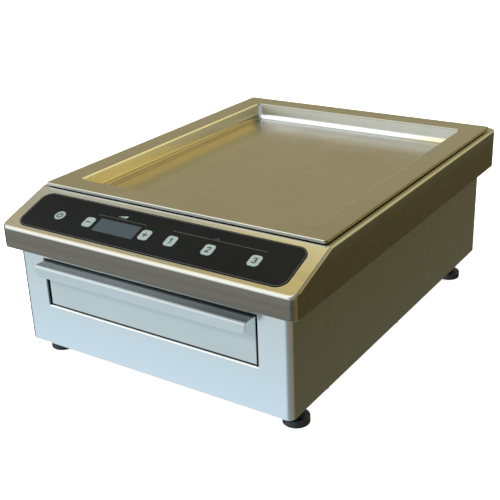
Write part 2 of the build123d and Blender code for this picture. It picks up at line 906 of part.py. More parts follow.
# ---------------------------------------------------------------- induction heater
def make_mica_sheet():
    half = mica_width / 2
    sheet = block(-half, half, coil_tray_front, coil_tray_back, coil_top, mica_top)
    for y in coil_centres:
        sheet -= rod(0, y, coil_top, mica_top, sensor_radius + sensor_clearance)
    return sheet


def make_coil(y):
    return rod(0, y, carrier_top, coil_top, coil_radius) - rod(0, y, carrier_top, coil_top, coil_eye_radius)


def make_coil_carriers():
    return [rod(0, y, ferrite_top, carrier_top, carrier_radius) for y in coil_centres]


def make_ferrite_bars():
    bars = []
    bar_middle = coil_eye_radius + ferrite_start + ferrite_length / 2
    for y in coil_centres:
        for k in range(ferrites_per_coil):
            place = Pos(0, y, ferrite_top - ferrite_height / 2) * Rot(0, 0, 360 * k / ferrites_per_coil)
            bars.append(place * Pos(bar_middle, 0, 0) * Box(ferrite_length, ferrite_width, ferrite_height))
    return bars


def make_temperature_sensors():
    return [rod(0, y, carrier_top, plate_under, sensor_radius) for y in coil_centres]


def make_coil_tray():
    half = coil_tray_width / 2
    return block(-half, half, coil_tray_front, coil_tray_back, crossbar_top, coil_tray_top)


def make_crossbars():
    bars = []
    z0 = crossbar_top - crossbar_height
    for y in crossbar_rows:
        y0 = y - crossbar_width / 2
        y1 = y + crossbar_width / 2
        bar = block(-support_leaf, support_leaf, y0, y1, z0, crossbar_top)
        web = support_leaf - crossbar_sheet
        bar -= block(-web, web, y0 + crossbar_sheet, y1 - crossbar_sheet, z0, crossbar_top - crossbar_sheet)
        bar -= rod_x(y, rivet_z, -support_leaf, support_leaf, m4 + screw_fit)
        bars.append(bar)
    return bars


# ---------------------------------------------------------------- electronics and fan
def make_power_board():
    z0 = power_board["z"]
    z1 = z0 + board_sheet
    return block(power_board["x0"], power_board["x1"], power_board["y0"], power_board["y1"], z0, z1)


def make_board_posts():
    xs = (power_board["x0"] + post_inset, power_board["x1"] - post_inset)
    ys = (power_board["y0"] + post_inset, power_board["y1"] - post_inset)
    return [rod(x, y, base_top, power_board["z"], post_radius) for x in xs for y in ys]


def make_heatsink():
    z0 = power_board["z"] + board_sheet + package_height
    top = z0 + heatsink["base"] + heatsink["fin"]
    sink = block(heatsink["x0"], heatsink["x1"], heatsink["y0"], heatsink["y1"], z0, z0 + heatsink["base"])
    x = heatsink["x0"]
    while x + heatsink_fin <= heatsink["x1"] + 0.01:
        sink += block(x, x + heatsink_fin, heatsink["y0"], heatsink["y1"], z0, top)
        x += heatsink_pitch
    return sink


def make_power_transistors():
    z0 = power_board["z"] + board_sheet
    width, length = transistor_size
    x = heatsink["x0"] + transistor_inset
    rows = [heatsink["y0"] + row for row in transistor_rows]
    return [block(x, x + width, y, y + length, z0, z0 + package_height) for y in rows]


def make_rectifier():
    z0 = power_board["z"] + board_sheet
    x = heatsink["x0"] + rectifier_inset
    y = heatsink["y1"] - rectifier_from_end
    return block(x, x + rectifier_size, y, y + rectifier_size, z0, z0 + package_height)


def make_film_capacitors():
    z0 = power_board["z"] + board_sheet
    width, length, height = capacitor_size
    x = heatsink["x1"] + capacitor_gap + width / 2
    rows = [power_board["y0"] + row + length / 2 for row in capacitor_rows]
    return [rounded_block(width, length, capacitor_corner_radius, x, y, z0, z0 + height) for y in rows]


def make_filter_choke():
    z = power_board["z"] + board_sheet + choke_thickness
    place = Pos(heatsink["x1"] + choke_gap, power_board["y0"] + choke_row, z)
    return place * Torus(choke_radius, choke_thickness)


def fan_corners():
    reach = fan_screw_reach
    return [(fan_x + sx * reach, fan_y + sy * reach) for sx in (-1, 1) for sy in (-1, 1)]


def make_fan_frame():
    z0 = base_top
    z1 = z0 + fan_height
    frame = rounded_block(fan_size, fan_size, fan_corner_radius, fan_x, fan_y, z0, z1)
    frame -= rod(fan_x, fan_y, z0, z1, fan_bore_radius)
    frame += rod(fan_x, fan_y, z0, z0 + fan_hub_plate, fan_hub_radius)
    middle = (fan_hub_radius + fan_bore_radius) / 2
    length = fan_bore_radius - fan_hub_radius + overcut
    for k in range(4):
        place = Pos(fan_x, fan_y, z0 + fan_spoke_height / 2) * Rot(0, 0, 45 + 90 * k) * Pos(middle, 0, 0)
        frame += place * Box(length, fan_spoke_width, fan_spoke_height)
    frame -= rod(fan_x, fan_y, z0, z1, fan_shaft_radius + fan_shaft_gap)
    for x, y in fan_corners():
        frame -= rod(x, y, z0, z1, m4 + screw_fit)
    return frame


def make_fan_rotor():
    z0 = base_top + fan_hub_plate + fan_rotor_gap
    z1 = base_top + fan_height - fan_top_gap
    hub = rod(fan_x, fan_y, z0, z1, fan_hub_radius)
    rotor = fillet(hub.edges().sort_by(Axis.Z)[-1], fan_top_gap)
    tip = fan_bore_radius - fan_tip_gap
    length = tip - fan_hub_radius + 1
    for k in range(fan_blades):
        blade = Pos(fan_x, fan_y, (z0 + z1) / 2) * Rot(0, 0, 360 * k / fan_blades)
        blade *= Pos(fan_hub_radius - 1 + length / 2, 0, 0) * Rot(fan_blade_angle, 0, 0)
        rotor += blade * Box(length, fan_blade_chord, fan_blade_sheet)
    rotor &= rod(fan_x, fan_y, z0, z1, tip)
    return rotor + rod(fan_x, fan_y, base_top + fan_shaft_end_gap, z0 + 1, fan_shaft_radius)


def make_terminal_block():
    half = terminal_width / 2
    y0 = front + terminal_setback
    y1 = y0 + terminal_depth
    top = base_top + terminal_height
    body = block(gland_x - half, gland_x + half, y0, y1, base_top, top)
    for k in (-1, 0, 1):
        x = gland_x + terminal_pitch * k
        body -= rod(x, (y0 + y1) / 2, top - terminal_well_depth, top, terminal_well_radius)
    return body


def make_earth_stud():
    x = -casing_inner + earth_stud_inset
    y = front + earth_stud_setback
    stud = rod(x, y, base_top, base_top + earth_stud_height, earth_stud_radius)
    return stud + hexagon(x, y, base_top, base_top + earth_nut_height, earth_nut_flats)


def make_cable_gland():
    inner_end = panel_front - gland_reach
    cap_start = panel_back + gland_collar_height
    cap_end = cap_start + gland_cap_height
    body = rod_y(gland_x, gland_z, inner_end, panel_back, gland_thread_radius)
    collar = RegularPolygon(gland_collar_flats / 2, 6, major_radius=False)
    seat = Pos(gland_x, panel_back, gland_z) * Rot(-90, 0, 0)
    body += seat * extrude(collar, gland_collar_height)
    cap = rod_y(gland_x, gland_z, cap_start, cap_end, gland_cap_radius)
    body += fillet(cap.edges().sort_by(Axis.Y)[-1], gland_cap_edge)
    return body - rod_y(gland_x, gland_z, inner_end, cap_end, gland_bore_radius)


def make_gland_locknut():
    seat = Pos(gland_x, panel_front, gland_z) * Rot(90, 0, 0)
    outline = RegularPolygon(gland_nut_flats / 2, 6, major_radius=False)
    ring = seat * extrude(outline, gland_nut_height)
    return ring - rod_y(gland_x, gland_z, panel_front - gland_nut_height, panel_front, gland_thread_radius)


# ---------------------------------------------------------------- write every sub-part
save("hood", make_hood())
save("griddle_plate", make_griddle_plate())
save("plate_gasket", make_plate_gasket())
save_group("plate_studs", make_plate_studs())
save_group("plate_nuts", make_plate_nuts())
save("drain_spout", make_drain_spout())
save_group("hood_studs", make_hood_studs())
save_group("hood_nuts", make_hood_nuts())

save("control_overlay", make_control_overlay())
save("lcd_window", make_lcd_window())
save("lcd_module", make_lcd_module())
save("display_board", make_display_board())
save_group("key_switches", make_key_switches())
save_group("board_spacers", make_board_spacers())
save_group("board_screws", make_board_screws())
for key_name, key_u in key_places.items():
    save(key_name, make_key(key_name, key_u))

save("casing", make_casing())
save("rear_panel", make_rear_panel())
save("base_plate", make_base_plate())
save_group("casing_screws", make_casing_screws())
save_group("feet", [make_foot(*place) for place in foot_places])
save_group("foot_studs", make_foot_studs())
save_group("foot_nuts", make_foot_nuts())
save_group("hood_supports", [make_hood_support(side) for side in (-1, 1)])
save_group("side_rivets", make_side_rivets())

save("drawer_front", make_drawer_front())
save("drawer_handle", make_drawer_handle())
save("drawer_tray", make_drawer_tray())
save_group("drawer_studs", make_drawer_studs())
save_group("drawer_nuts", make_drawer_nuts())
save_group("drawer_rails", [make_drawer_rail(side) for side in (-1, 1)])
save("drip_shield", make_drip_shield())
save("bulkhead", make_bulkhead())
save_group("drawer_stops", make_drawer_stops())

save("mica_sheet", make_mica_sheet())
save_group("induction_coils", [make_coil(y) for y in coil_centres])
save_group("coil_carriers", make_coil_carriers())
save_group("ferrite_bars", make_ferrite_bars())
save_group("temperature_sensors", make_temperature_sensors())
save("coil_tray", make_coil_tray())
save_group("coil_crossbars", make_crossbars())

save("power_board", make_power_board())
save_group("board_posts", make_board_posts())
save("heatsink", make_heatsink())
save_group("power_transistors", make_power_transistors())
save("rectifier_bridge", make_rectifier())
save_group("film_capacitors", make_film_capacitors())
save("filter_choke", make_filter_choke())
save("fan_frame", make_fan_frame())
save("fan_rotor", make_fan_rotor())
save("terminal_block", make_terminal_block())
save("earth_stud", make_earth_stud())
save("cable_gland", make_cable_gland())
save("gland_locknut", make_gland_locknut())
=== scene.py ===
import json
import math

import bmesh
import bpy
from mathutils import Matrix, Vector


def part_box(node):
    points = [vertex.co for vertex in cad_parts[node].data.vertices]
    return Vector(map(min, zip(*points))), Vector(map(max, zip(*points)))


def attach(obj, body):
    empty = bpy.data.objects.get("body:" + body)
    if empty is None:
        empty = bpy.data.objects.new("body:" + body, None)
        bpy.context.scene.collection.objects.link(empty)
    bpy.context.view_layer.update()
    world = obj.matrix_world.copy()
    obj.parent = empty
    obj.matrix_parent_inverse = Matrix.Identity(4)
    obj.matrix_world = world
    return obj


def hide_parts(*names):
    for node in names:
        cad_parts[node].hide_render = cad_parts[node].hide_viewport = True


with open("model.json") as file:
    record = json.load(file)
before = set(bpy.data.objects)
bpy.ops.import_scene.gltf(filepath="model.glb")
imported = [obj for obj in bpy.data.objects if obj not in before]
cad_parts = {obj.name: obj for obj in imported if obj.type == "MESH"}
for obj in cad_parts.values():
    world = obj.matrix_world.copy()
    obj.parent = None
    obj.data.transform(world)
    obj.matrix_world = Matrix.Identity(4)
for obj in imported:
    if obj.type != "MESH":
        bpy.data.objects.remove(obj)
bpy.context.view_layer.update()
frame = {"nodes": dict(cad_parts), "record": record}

MM = 0.001


def box_mm(node):
    """Lowest and highest corner of a CAD node, in millimetres."""
    return [tuple(round(value / MM, 3) for value in corner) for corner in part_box(node)]


def middle_x(node):
    low, high = box_mm(node)
    return round((low[0] + high[0]) / 2, 1)


# ---------------------------------------------------------------- sizes from the frame, in millimetres
(_, FRONT, SKIRT_Z), (HOOD_HALF, BACK, HOOD_Z) = box_mm("hood")
(_, CASING_FRONT, CASING_Z0), (CASING_HALF, CASING_BACK, CASING_Z1) = box_mm("casing")
(_, PLATE_FRONT, PLATE_UNDER), (PLATE_HALF, PLATE_BACK, PLATE_TOP) = box_mm("griddle_plate")
(_, DRAWER_FACE, DRAWER_Z0), (DRAWER_HALF, _, DRAWER_Z1) = box_mm("drawer_front")
HANDLE_Y = box_mm("drawer_handle")[0][1]
HOOD_W, HOOD_D = 2 * HOOD_HALF, BACK - FRONT
PLATE_W, PLATE_L = 2 * PLATE_HALF, PLATE_BACK - PLATE_FRONT
PLATE_Y = (PLATE_FRONT + PLATE_BACK) / 2

# ---------------------------------------------------------------- other sizes, in millimetres
HOOD_SHEET = 1.5
HOOD_CORNER, HOOD_EDGE, HOOD_HEM = 9.5, 3.0, 1.2
HOOD_OPENING_INSET, HOOD_OPENING_CORNER = 24.0, 6.0
SLOPE_RUN, SLOPE_RISE = 74.5, 26.4
SLOPE = math.atan2(SLOPE_RISE, SLOPE_RUN)
NOSE_Z = HOOD_Z - SLOPE_RISE
KNEE_SOFT, KNEE_CUTS = 1.4, 4

PLATE_SHEET, PLATE_CORNER = 3.5, 4.0
PLATE_LOWER_EDGE, PLATE_UPPER_EDGE = 0.5, 1.0
RECESS_FLOOR = PLATE_UNDER + PLATE_SHEET
RECESS_TAPER = 10.0
RIM_W, RIM_EDGE, COVE = 30.0, 2.4, 8.0
RIM_CORNER, FLOOR_CORNER = 5.0, 6.5
DRAIN_R, DRAIN_INSET = 11.0, 25.0
DRAIN_Y = PLATE_FRONT + RIM_W + DRAIN_INSET

CASING_SHEET, CASING_CORNER, CASING_EDGE = 1.2, 9.5, 1.4
CASING_FLANGE = 8.0
REAR_OPENING_INSET, REAR_OPENING_SILL = 27.0, 10.0

DRAWER_SHEET, DRAWER_EDGE, DRAWER_RETURN = 1.2, 1.0, 8.0
DRAWER_GAP_SIDE, DRAWER_GAP_TOP, DRAWER_GAP_BOTTOM = 2.8, 1.7, 1.2
OPEN_HALF = DRAWER_HALF + DRAWER_GAP_SIDE
OPEN_Z0 = DRAWER_Z0 - DRAWER_GAP_BOTTOM
OPEN_Z1 = DRAWER_Z1 + DRAWER_SHEET + DRAWER_GAP_TOP
RETURN_BEND, RETURN_DEPTH = 2.5, 10.0
PULL_BEND, PULL_LIP, PULL_CORNER, PULL_FLAT = 3.4, 13.5, 7.0, 2.0

OVERLAY_W, OVERLAY_H, OVERLAY_CORNER = 365.0, 61.0, 14.0
OVERLAY_SHEET = 0.6
OVERLAY_V, KEY_V = -0.7, -3.7
KEY_NAMES = ("key_power", "key_minus", "key_plus", "key_preset_1", "key_preset_2", "key_preset_3")
KEYS = {name: middle_x(name) for name in KEY_NAMES}
KEY_W, KEY_H, KEY_CORNER, POWER_KEY_R = 13.5, 16.0, 4.0, 7.0
KEY_GAP, KEY_FLANGE = 0.35, 1.6
LCD_U = middle_x("lcd_window")
LCD_W, LCD_H, LCD_CORNER, LCD_GAP = 58.0, 21.0, 1.0, 0.1

FOOT_INSET_SIDE, FOOT_INSET_FRONT, FOOT_INSET_BACK = 29.8, 48.0, 76.0
FOOT_X = HOOD_HALF - FOOT_INSET_SIDE
FEET = [(x, y) for x in (-FOOT_X, FOOT_X) for y in (FRONT + FOOT_INSET_FRONT, BACK - FOOT_INSET_BACK)]


# ---------------------------------------------------------------- node materials
def put(tree, socket, value):
    """Links a socket to another one, or sets its own value."""
    if isinstance(value, bpy.types.NodeSocket):
        tree.links.new(value, socket)
    else:
        socket.default_value = value


class Nodes:
    """A small helper that strings a material's shader nodes together."""

    def __init__(self, name):
        self.mat = bpy.data.materials.new(name)
        self.mat.use_nodes = True
        self.tree = self.mat.node_tree
        self.bsdf = next(n for n in self.tree.nodes if n.type == "BSDF_PRINCIPLED")

    def add(self, kind, **values):
        node = self.tree.nodes.new(kind)
        for key, value in values.items():
            setattr(node, key, value)
        return node

    def put(self, socket, value):
        put(self.tree, socket, value)

    def set(self, name, value):
        self.put(self.bsdf.inputs[name], value)

    def coords(self, scale=(1, 1, 1)):
        source = self.add("ShaderNodeTexCoord")
        mapping = self.add("ShaderNodeMapping")
        self.put(mapping.inputs["Vector"], source.outputs["Object"])
        mapping.inputs["Scale"].default_value = scale
        return mapping.outputs["Vector"]

    def axis(self, space, letter):
        source = self.add("ShaderNodeTexCoord")
        split = self.add("ShaderNodeSeparateXYZ")
        self.put(split.inputs[0], source.outputs[space])
        return split.outputs[letter]

    def noise(self, vector, scale, detail=4.0, rough=0.55, distortion=0.0):
        node = self.add("ShaderNodeTexNoise")
        self.put(node.inputs["Vector"], vector)
        node.inputs["Scale"].default_value = scale
        node.inputs["Detail"].default_value = detail
        node.inputs["Roughness"].default_value = rough
        node.inputs["Distortion"].default_value = distortion
        return node.outputs["Fac"]

    def span(self, value, from_low, from_high, to_low, to_high):
        node = self.add("ShaderNodeMapRange")
        self.put(node.inputs["Value"], value)
        node.inputs["From Min"].default_value = from_low
        node.inputs["From Max"].default_value = from_high
        node.inputs["To Min"].default_value = to_low
        node.inputs["To Max"].default_value = to_high
        return node.outputs["Result"]

    def facing(self, letter, start, end, most=1.0):
        """A mask by which way a face points: nothing at start, most of it at end."""
        return self.span(self.axis("Normal", letter), start, end, 0.0, most)

    def along(self, letter, start, end, most=1.0):
        """A mask by place on the object, in millimetres: nothing at start, most of it at end."""
        return self.span(self.axis("Object", letter), start * MM, end * MM, 0.0, most)

    def math(self, operation, a, b):
        node = self.add("ShaderNodeMath", operation=operation)
        self.put(node.inputs[0], a)
        self.put(node.inputs[1], b)
        return node.outputs[0]

    def both(self, first, *others):
        """Where all the masks hold."""
        for other in others:
            first = self.math("MULTIPLY", first, other)
        return first

    def mix(self, factor, a, b):
        node = self.add("ShaderNodeMix", data_type="RGBA")
        self.put(node.inputs[0], factor)
        self.put(node.inputs[6], a)
        self.put(node.inputs[7], b)
        return node.outputs[2]

    def bump(self, height, strength, distance):
        node = self.add("ShaderNodeBump")
        self.put(node.inputs["Height"], height)
        node.inputs["Strength"].default_value = strength
        node.inputs["Distance"].default_value = distance
        self.set("Normal", node.outputs["Normal"])


def shade(colour, factor):
    return (*(min(1.0, c * factor) for c in colour[:3]), 1.0)


def brushed_metal(
    name, colour, rough=0.25, grain=(8.0, 900.0, 900.0), amount=0.5, smudge=0.35,
    tint=None, painted_light=None, wall_blur=0.0,
):
    """Sheet steel: fine grain along one axis, cloudy smudges and small differences of tone.

    The function passed for painted light gets these nodes, the tone so far, the colour and the streaks,
    and gives back the tone with painted reflections, highlights and shade by place and facing.
    wall_blur makes faces that look forward rougher.
    """
    n = Nodes(name)
    fine = n.noise(n.coords(grain), 1.0, 4.0, 0.65)
    streak = n.noise(n.coords(tuple(0.12 * g for g in grain)), 1.0, 4.0, 0.6)
    broad = n.noise(n.coords(), 9.0, 4.0, 0.55, 0.4)
    spots = n.noise(n.coords(), 38.0, 5.0, 0.6, 0.8)
    dark, light = shade(colour, 1.0 - 0.12 * amount), shade(colour, 1.0 + 0.10 * amount)
    tone = n.mix(n.span(fine, 0.3, 0.7, 0.0, 1.0), dark, light)
    tone = n.mix(n.span(streak, 0.35, 0.75, 0.0, 0.5 * amount), tone, shade(colour, 0.84))
    tone = n.mix(n.span(broad, 0.35, 0.7, 0.0, smudge), tone, tint or shade(colour, 0.82))
    n.set("Metallic", 1.0)
    # painted reflections, highlights and shade laid over the steel's tone, where a function for them is
    # given
    n.set("Base Color", painted_light(n, tone, colour, streak) if painted_light else tone)
    base = n.span(fine, 0.25, 0.75, rough * 0.85, rough * 1.15)
    extra = n.span(spots, 0.45, 0.75, 0.0, 0.08 * smudge / 0.35)
    if wall_blur:
        extra = n.math("ADD", extra, n.facing("Y", -0.1, -0.5, wall_blur))
    n.set("Roughness", n.math("ADD", base, extra))
    n.bump(fine, 0.06 * amount, 0.0001)
    return n.mat


def hood_painted_reflection(n, steel, colour, streak):
    """Painted reflections on the skirt, coarser and duller than the top: painted shade in brown ahead and
    in olive at the sides and back.
    """
    # darker tones for the skirt that stand in for the room mirrored in it: painted shade
    front, side = (0.192, 0.163, 0.128), (0.46, 0.42, 0.30)
    fold_z = NOSE_Z - 2.3
    low = n.along("Z", fold_z, fold_z - 1.0)
    # on the sides the steel's own tone stays at the top as a painted highlight, fading to the painted shade
    # below
    low_side = n.along("Z", HOOD_Z - 2.5, HOOD_Z - 16.5)
    grain = n.span(streak, 0.3, 0.7, 0.0, 1.0)
    front_painted_shade = n.mix(grain, shade(front, 0.86), shade(front, 1.16))
    side_painted_shade = n.mix(grain, shade(side, 0.94), shade(side, 1.06))
    ahead = n.facing("Y", -0.45, -0.9)
    return n.mix(ahead, n.mix(low_side, steel, side_painted_shade), n.mix(low, steel, front_painted_shade))


def plate_painted_reflection(n, steel, colour, streak):
    """Painted reflections in the recess: golden walls at the sides, painted shade on the floor beside them,
    a pale painted highlight on the rear wall and cove.
    """
    # painted reflection: golden side walls
    steel = n.mix(n.facing("X", 0.35, 0.8), steel, (0.98, 0.87, 0.52, 1.0))

    floor = n.along("Z", RECESS_FLOOR + 1.3, RECESS_FLOOR + 0.3)
    # painted shade: the floor darker towards the rear wall
    steel = n.mix(n.both(floor, n.along("Y", 168.0, 206.0, 0.9)), steel, shade(colour, 0.52))
    # painted shade: a dim floor strip beside the left wall
    level = n.both(n.facing("Z", 0.9, 0.99), n.along("X", -104.0, -126.0, 0.9))
    steel = n.mix(n.both(floor, level), steel, (0.36, 0.35, 0.31, 1.0))

    # painted shade: a darker olive band low on the side walls
    turning = n.both(n.facing("X", 0.1, 0.3), n.facing("X", 0.97, 0.9))
    side_cove = n.both(turning, n.along("Z", PLATE_TOP - 9.3, PLATE_TOP - 12.3))
    steel = n.mix(side_cove, steel, (0.40, 0.35, 0.22, 1.0))

    # painted highlight along the top of the left wall; painted shade on the plate's outer edge at the right
    side_edge = n.both(n.facing("X", 0.2, 0.5), n.along("Z", PLATE_TOP - 6.8, PLATE_TOP - 2.3))
    inner, outer = (1.0, 0.96, 0.74, 1.0), (0.30, 0.27, 0.18, 1.0)
    steel = n.mix(side_edge, steel, n.mix(n.along("X", 160.0, 180.0), inner, outer))

    crest_z0, crest_z1 = PLATE_TOP - 3.1, PLATE_TOP - 2.0
    # painted highlight: the rear wall and cove pale, white to the left and golden to the right
    rear_cove = n.both(n.facing("Y", -0.22, -0.38), n.facing("Y", -0.97, -0.90))
    white, gold = (0.88, 0.94, 1.0, 1.0), (0.78, 0.70, 0.42, 1.0)
    cove_painted_highlight = n.mix(n.along("X", 60.0, 140.0), white, gold)
    steel = n.mix(n.both(rear_cove, n.along("Z", crest_z1, crest_z0)), steel, cove_painted_highlight)
    # painted shade on the crest of the rim towards the back
    crest = n.both(n.facing("Y", -0.1, -0.35), n.along("Z", crest_z0, crest_z1))
    return n.mix(n.both(crest, n.along("Y", 0.0, 100.0)), steel, (0.40, 0.385, 0.33, 1.0))


def casing_painted_reflection(n, steel, colour, streak):
    """Painted reflection: the casing turns lighter and bluer towards the worktop."""
    return n.mix(n.along("Z", 135.0, 30.0), steel, (0.76, 0.815, 0.86, 1.0))


def drawer_painted_shadow(n, steel, colour, streak):
    """Painted shadow: the drawer front is dimmer just under and behind the pull."""
    return n.mix(n.along("Z", DRAWER_Z1 - 21.6, DRAWER_Z1 - 32.6), (0.47, 0.50, 0.50, 1.0), steel)


def returns_painted_reflection(n, steel, colour, streak):
    """Painted reflection: the opening's folded edges are darker and bluer where they face right."""
    return n.mix(n.facing("X", 0.35, 0.8), steel, (0.34, 0.50, 0.56, 1.0))


def pull_painted_shade(n, steel, colour, streak):
    """Painted reflection and shade: the pull's top is dim and less metallic, and darker to the right."""
    top = (0.30, 0.345, 0.37)
    n.set("Metallic", n.span(n.axis("Normal", "Z"), 0.6, 0.95, 1.0, 0.45))
    top_painted_shade = n.mix(n.along("X", -20.0, 110.0), shade(top, 1.0), shade(top, 0.5))
    return n.mix(n.facing("Z", 0.3, 0.8), steel, top_painted_shade)


def plastic(name, colour, rough=0.5, grain=180.0, bump=0.12, variation=0.12, gloss=0.5):
    n = Nodes(name)
    fine = n.noise(n.coords(), grain, 5.0, 0.6)
    broad = n.noise(n.coords(), 14.0, 3.0, 0.5)
    dark, light = shade(colour, 1 - variation), shade(colour, 1 + variation)
    n.set("Base Color", n.mix(n.span(broad, 0.3, 0.7, 0.0, 1.0), dark, light))
    n.set("Roughness", n.span(fine, 0.3, 0.7, rough * 0.85, min(1.0, rough * 1.15)))
    n.set("Specular IOR Level", gloss)
    n.bump(fine, bump, 0.0003)
    return n.mat


def circuit(name):
    """Green laminate with a brick pattern for its traces."""
    n = Nodes(name)
    traces = n.add("ShaderNodeTexBrick")
    n.put(traces.inputs["Vector"], n.coords())
    traces.inputs["Scale"].default_value = 90.0
    traces.inputs["Color1"].default_value = (0.015, 0.12, 0.04, 1)
    traces.inputs["Color2"].default_value = (0.02, 0.16, 0.05, 1)
    traces.inputs["Mortar"].default_value = (0.05, 0.25, 0.09, 1)
    traces.inputs["Mortar Size"].default_value = 0.03
    n.set("Base Color", traces.outputs["Color"])
    n.set("Roughness", n.span(n.noise(n.coords(), 120.0), 0.3, 0.7, 0.3, 0.5))
    n.bump(traces.outputs["Fac"], 0.2, 0.0002)
    return n.mat


EVEN_GRAIN = (400.0, 400.0, 400.0)
GRAIN_ALONG_Y = (900.0, 8.0, 900.0)
BRIGHT_STEEL = (0.68, 0.70, 0.69)
MATS = {
    "hood": brushed_metal("hood_steel", (0.60, 0.60, 0.56), 0.2, painted_light=hood_painted_reflection),
    "plate": brushed_metal(
        "plate_steel", (0.62, 0.61, 0.55), 0.2, (10.0, 500.0, 500.0), 0.4, 0.4,
        tint=(0.50, 0.465, 0.37, 1), painted_light=plate_painted_reflection, wall_blur=0.12,
    ),
    "casing": brushed_metal(
        "casing_steel", BRIGHT_STEEL, 0.24, amount=0.2, smudge=0.22, painted_light=casing_painted_reflection
    ),
    "drawer": brushed_metal(
        "drawer_steel", (0.645, 0.67, 0.66), 0.22, amount=0.25, smudge=0.3, painted_light=drawer_painted_shadow
    ),
    "returns": brushed_metal(
        "opening_steel", BRIGHT_STEEL, 0.24, amount=0.2, smudge=0.2, painted_light=returns_painted_reflection
    ),
    "pull": brushed_metal(
        "pull_steel", (0.63, 0.655, 0.65), 0.22, amount=0.25, smudge=0.2, painted_light=pull_painted_shade
    ),
    "inner": brushed_metal("inner_steel", (0.55, 0.55, 0.53), 0.36, GRAIN_ALONG_Y),
    "zinc": brushed_metal("zinc_fastener", (0.68, 0.67, 0.62), 0.28, EVEN_GRAIN, 0.6),
    "rubber": plastic("foot_rubber", (0.007, 0.010, 0.015), 0.38, 140.0),
    "film": plastic("overlay_film", (0.0062, 0.0072, 0.0080), 0.22, 220.0, 0.0, 0.1, 0.055),
    "key": plastic("key_film", (0.235, 0.30, 0.30), 0.3, 160.0, 0.02, 0.05, 0.3),
    "print": plastic("print_ink", (0.075, 0.085, 0.085), 0.4, 200.0, 0.0, 0.05, 0.2),
    "symbol": plastic("symbol_ink", (0.006, 0.012, 0.014), 0.4, 200.0, 0.0, 0.1, 0.2),
    "lcd": plastic("lcd_glass", (0.030, 0.048, 0.060), 0.12, 60.0, 0.0, 0.08, 0.3),
    "black": plastic("moulded_black", (0.02, 0.02, 0.021), 0.5, 150.0),
    "board": circuit("circuit_laminate"),
    "mica": plastic("mica_flakes", (0.55, 0.48, 0.34), 0.35, 90.0, 0.2, 0.25),
    "copper": brushed_metal("copper_wire", (0.78, 0.36, 0.18), 0.3, (300.0, 300.0, 60.0), 1.0),
    "ferrite": plastic("ferrite_grey", (0.035, 0.035, 0.04), 0.6, 120.0, 0.2),
    "aluminium": brushed_metal("extruded_aluminium", (0.76, 0.77, 0.78), 0.32, GRAIN_ALONG_Y),
    "brass": brushed_metal("sensor_brass", (0.72, 0.56, 0.26), 0.3, EVEN_GRAIN),
}
SLOT_MATS = {
    "stainless_steel": "inner",
    "cooking_steel": "plate",
    "fasteners": "zinc",
    "black_rubber": "rubber",
    "black_film": "film",
    "key_film": "key",
    "lcd_glass": "lcd",
    "circuit_board": "board",
    "black_plastic": "black",
    "mica": "mica",
    "copper": "copper",
    "ferrite": "ferrite",
    "aluminium_fins": "aluminium",
    "sensor_metal": "brass",
}
NODE_SLOT = {s["node"]: s["material_slot"] for s in frame["record"]["subparts"]}
for node_name, node_object in frame["nodes"].items():
    node_object.data.materials.clear()
    node_object.data.materials.append(MATS[SLOT_MATS[NODE_SLOT[node_name]]])


# ---------------------------------------------------------------- mesh helpers
SMOOTH_ANGLE = 32.0


def soften(obj, angle=SMOOTH_ANGLE):
    """Smooth shading that stays sharp over an angle in degrees."""
    for polygon in obj.data.polygons:
        polygon.use_smooth = True
    obj.data.set_sharp_from_angle(angle=math.radians(angle))
    weighted = obj.modifiers.new("weighted", "WEIGHTED_NORMAL")
    weighted.keep_sharp = True


def make_object(name, bm, mat, smooth=SMOOTH_ANGLE):
    """A finished mesh object from a bmesh in millimetres."""
    bmesh.ops.remove_doubles(bm, verts=bm.verts, dist=1e-4)
    bmesh.ops.recalc_face_normals(bm, faces=bm.faces)
    bmesh.ops.scale(bm, vec=(MM, MM, MM), verts=bm.verts)
    mesh = bpy.data.meshes.new(name)
    bm.to_mesh(mesh)
    bm.free()
    obj = bpy.data.objects.new(name, mesh)
    bpy.context.scene.collection.objects.link(obj)
    mesh.materials.append(MATS[mat])
    soften(obj, smooth)
    return obj


def place(obj, body, slot, *nodes):
    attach(obj, body)
    if nodes:
        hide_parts(*nodes)


def rounded(w, l, r, n=6, cx=0.0, cy=0.0):
    """Points of a rounded rectangle, anticlockwise, n segments a corner."""
    points = []
    for k, (sx, sy) in enumerate(((1, 1), (-1, 1), (-1, -1), (1, -1))):
        ox, oy = cx + sx * (w / 2 - r), cy + sy * (l / 2 - r)
        for i in range(n + 1):
            a = math.radians(90 * k + 90 * i / n)
            points.append((ox + r * math.cos(a), oy + r * math.sin(a)))
    return points


def circle(r, n=48, cx=0.0, cy=0.0):
    turns = [2 * math.pi * i / n for i in range(n)]
    return [(cx + r * math.cos(a), cy + r * math.sin(a)) for a in turns]


def arc(cx, cy, r, a0, a1, n):
    """Points on an arc, angles in degrees."""
    angles = [math.radians(a0 + (a1 - a0) * i / n) for i in range(n + 1)]
    return [(cx + r * math.cos(a), cy + r * math.sin(a)) for a in angles]


def quarter(steps):
    """Sine and cosine at even steps through a right angle."""
    angles = [math.radians(90 * k / steps) for k in range(steps + 1)]
    return [(math.sin(a), math.cos(a)) for a in angles]


def easing(radius, steps):
    """Pairs of an inset and a rise that turn a level bottom up into a wall.

    As pairs of a drop and an inset, they turn the wall over into a level top.
    """
    return [(radius * (1 - s), radius * (1 - c)) for s, c in quarter(steps)]


def flat(points, z):
    return [(x, y, z) for x, y in points]


def upright(x, y, z0, z1):
    """The corners of an upright rectangle across the middle, at a depth y."""
    return [(-x, y, z0), (x, y, z0), (x, y, z1), (-x, y, z1)]


def new_ring(bm, points):
    return [bm.verts.new(p) for p in points]


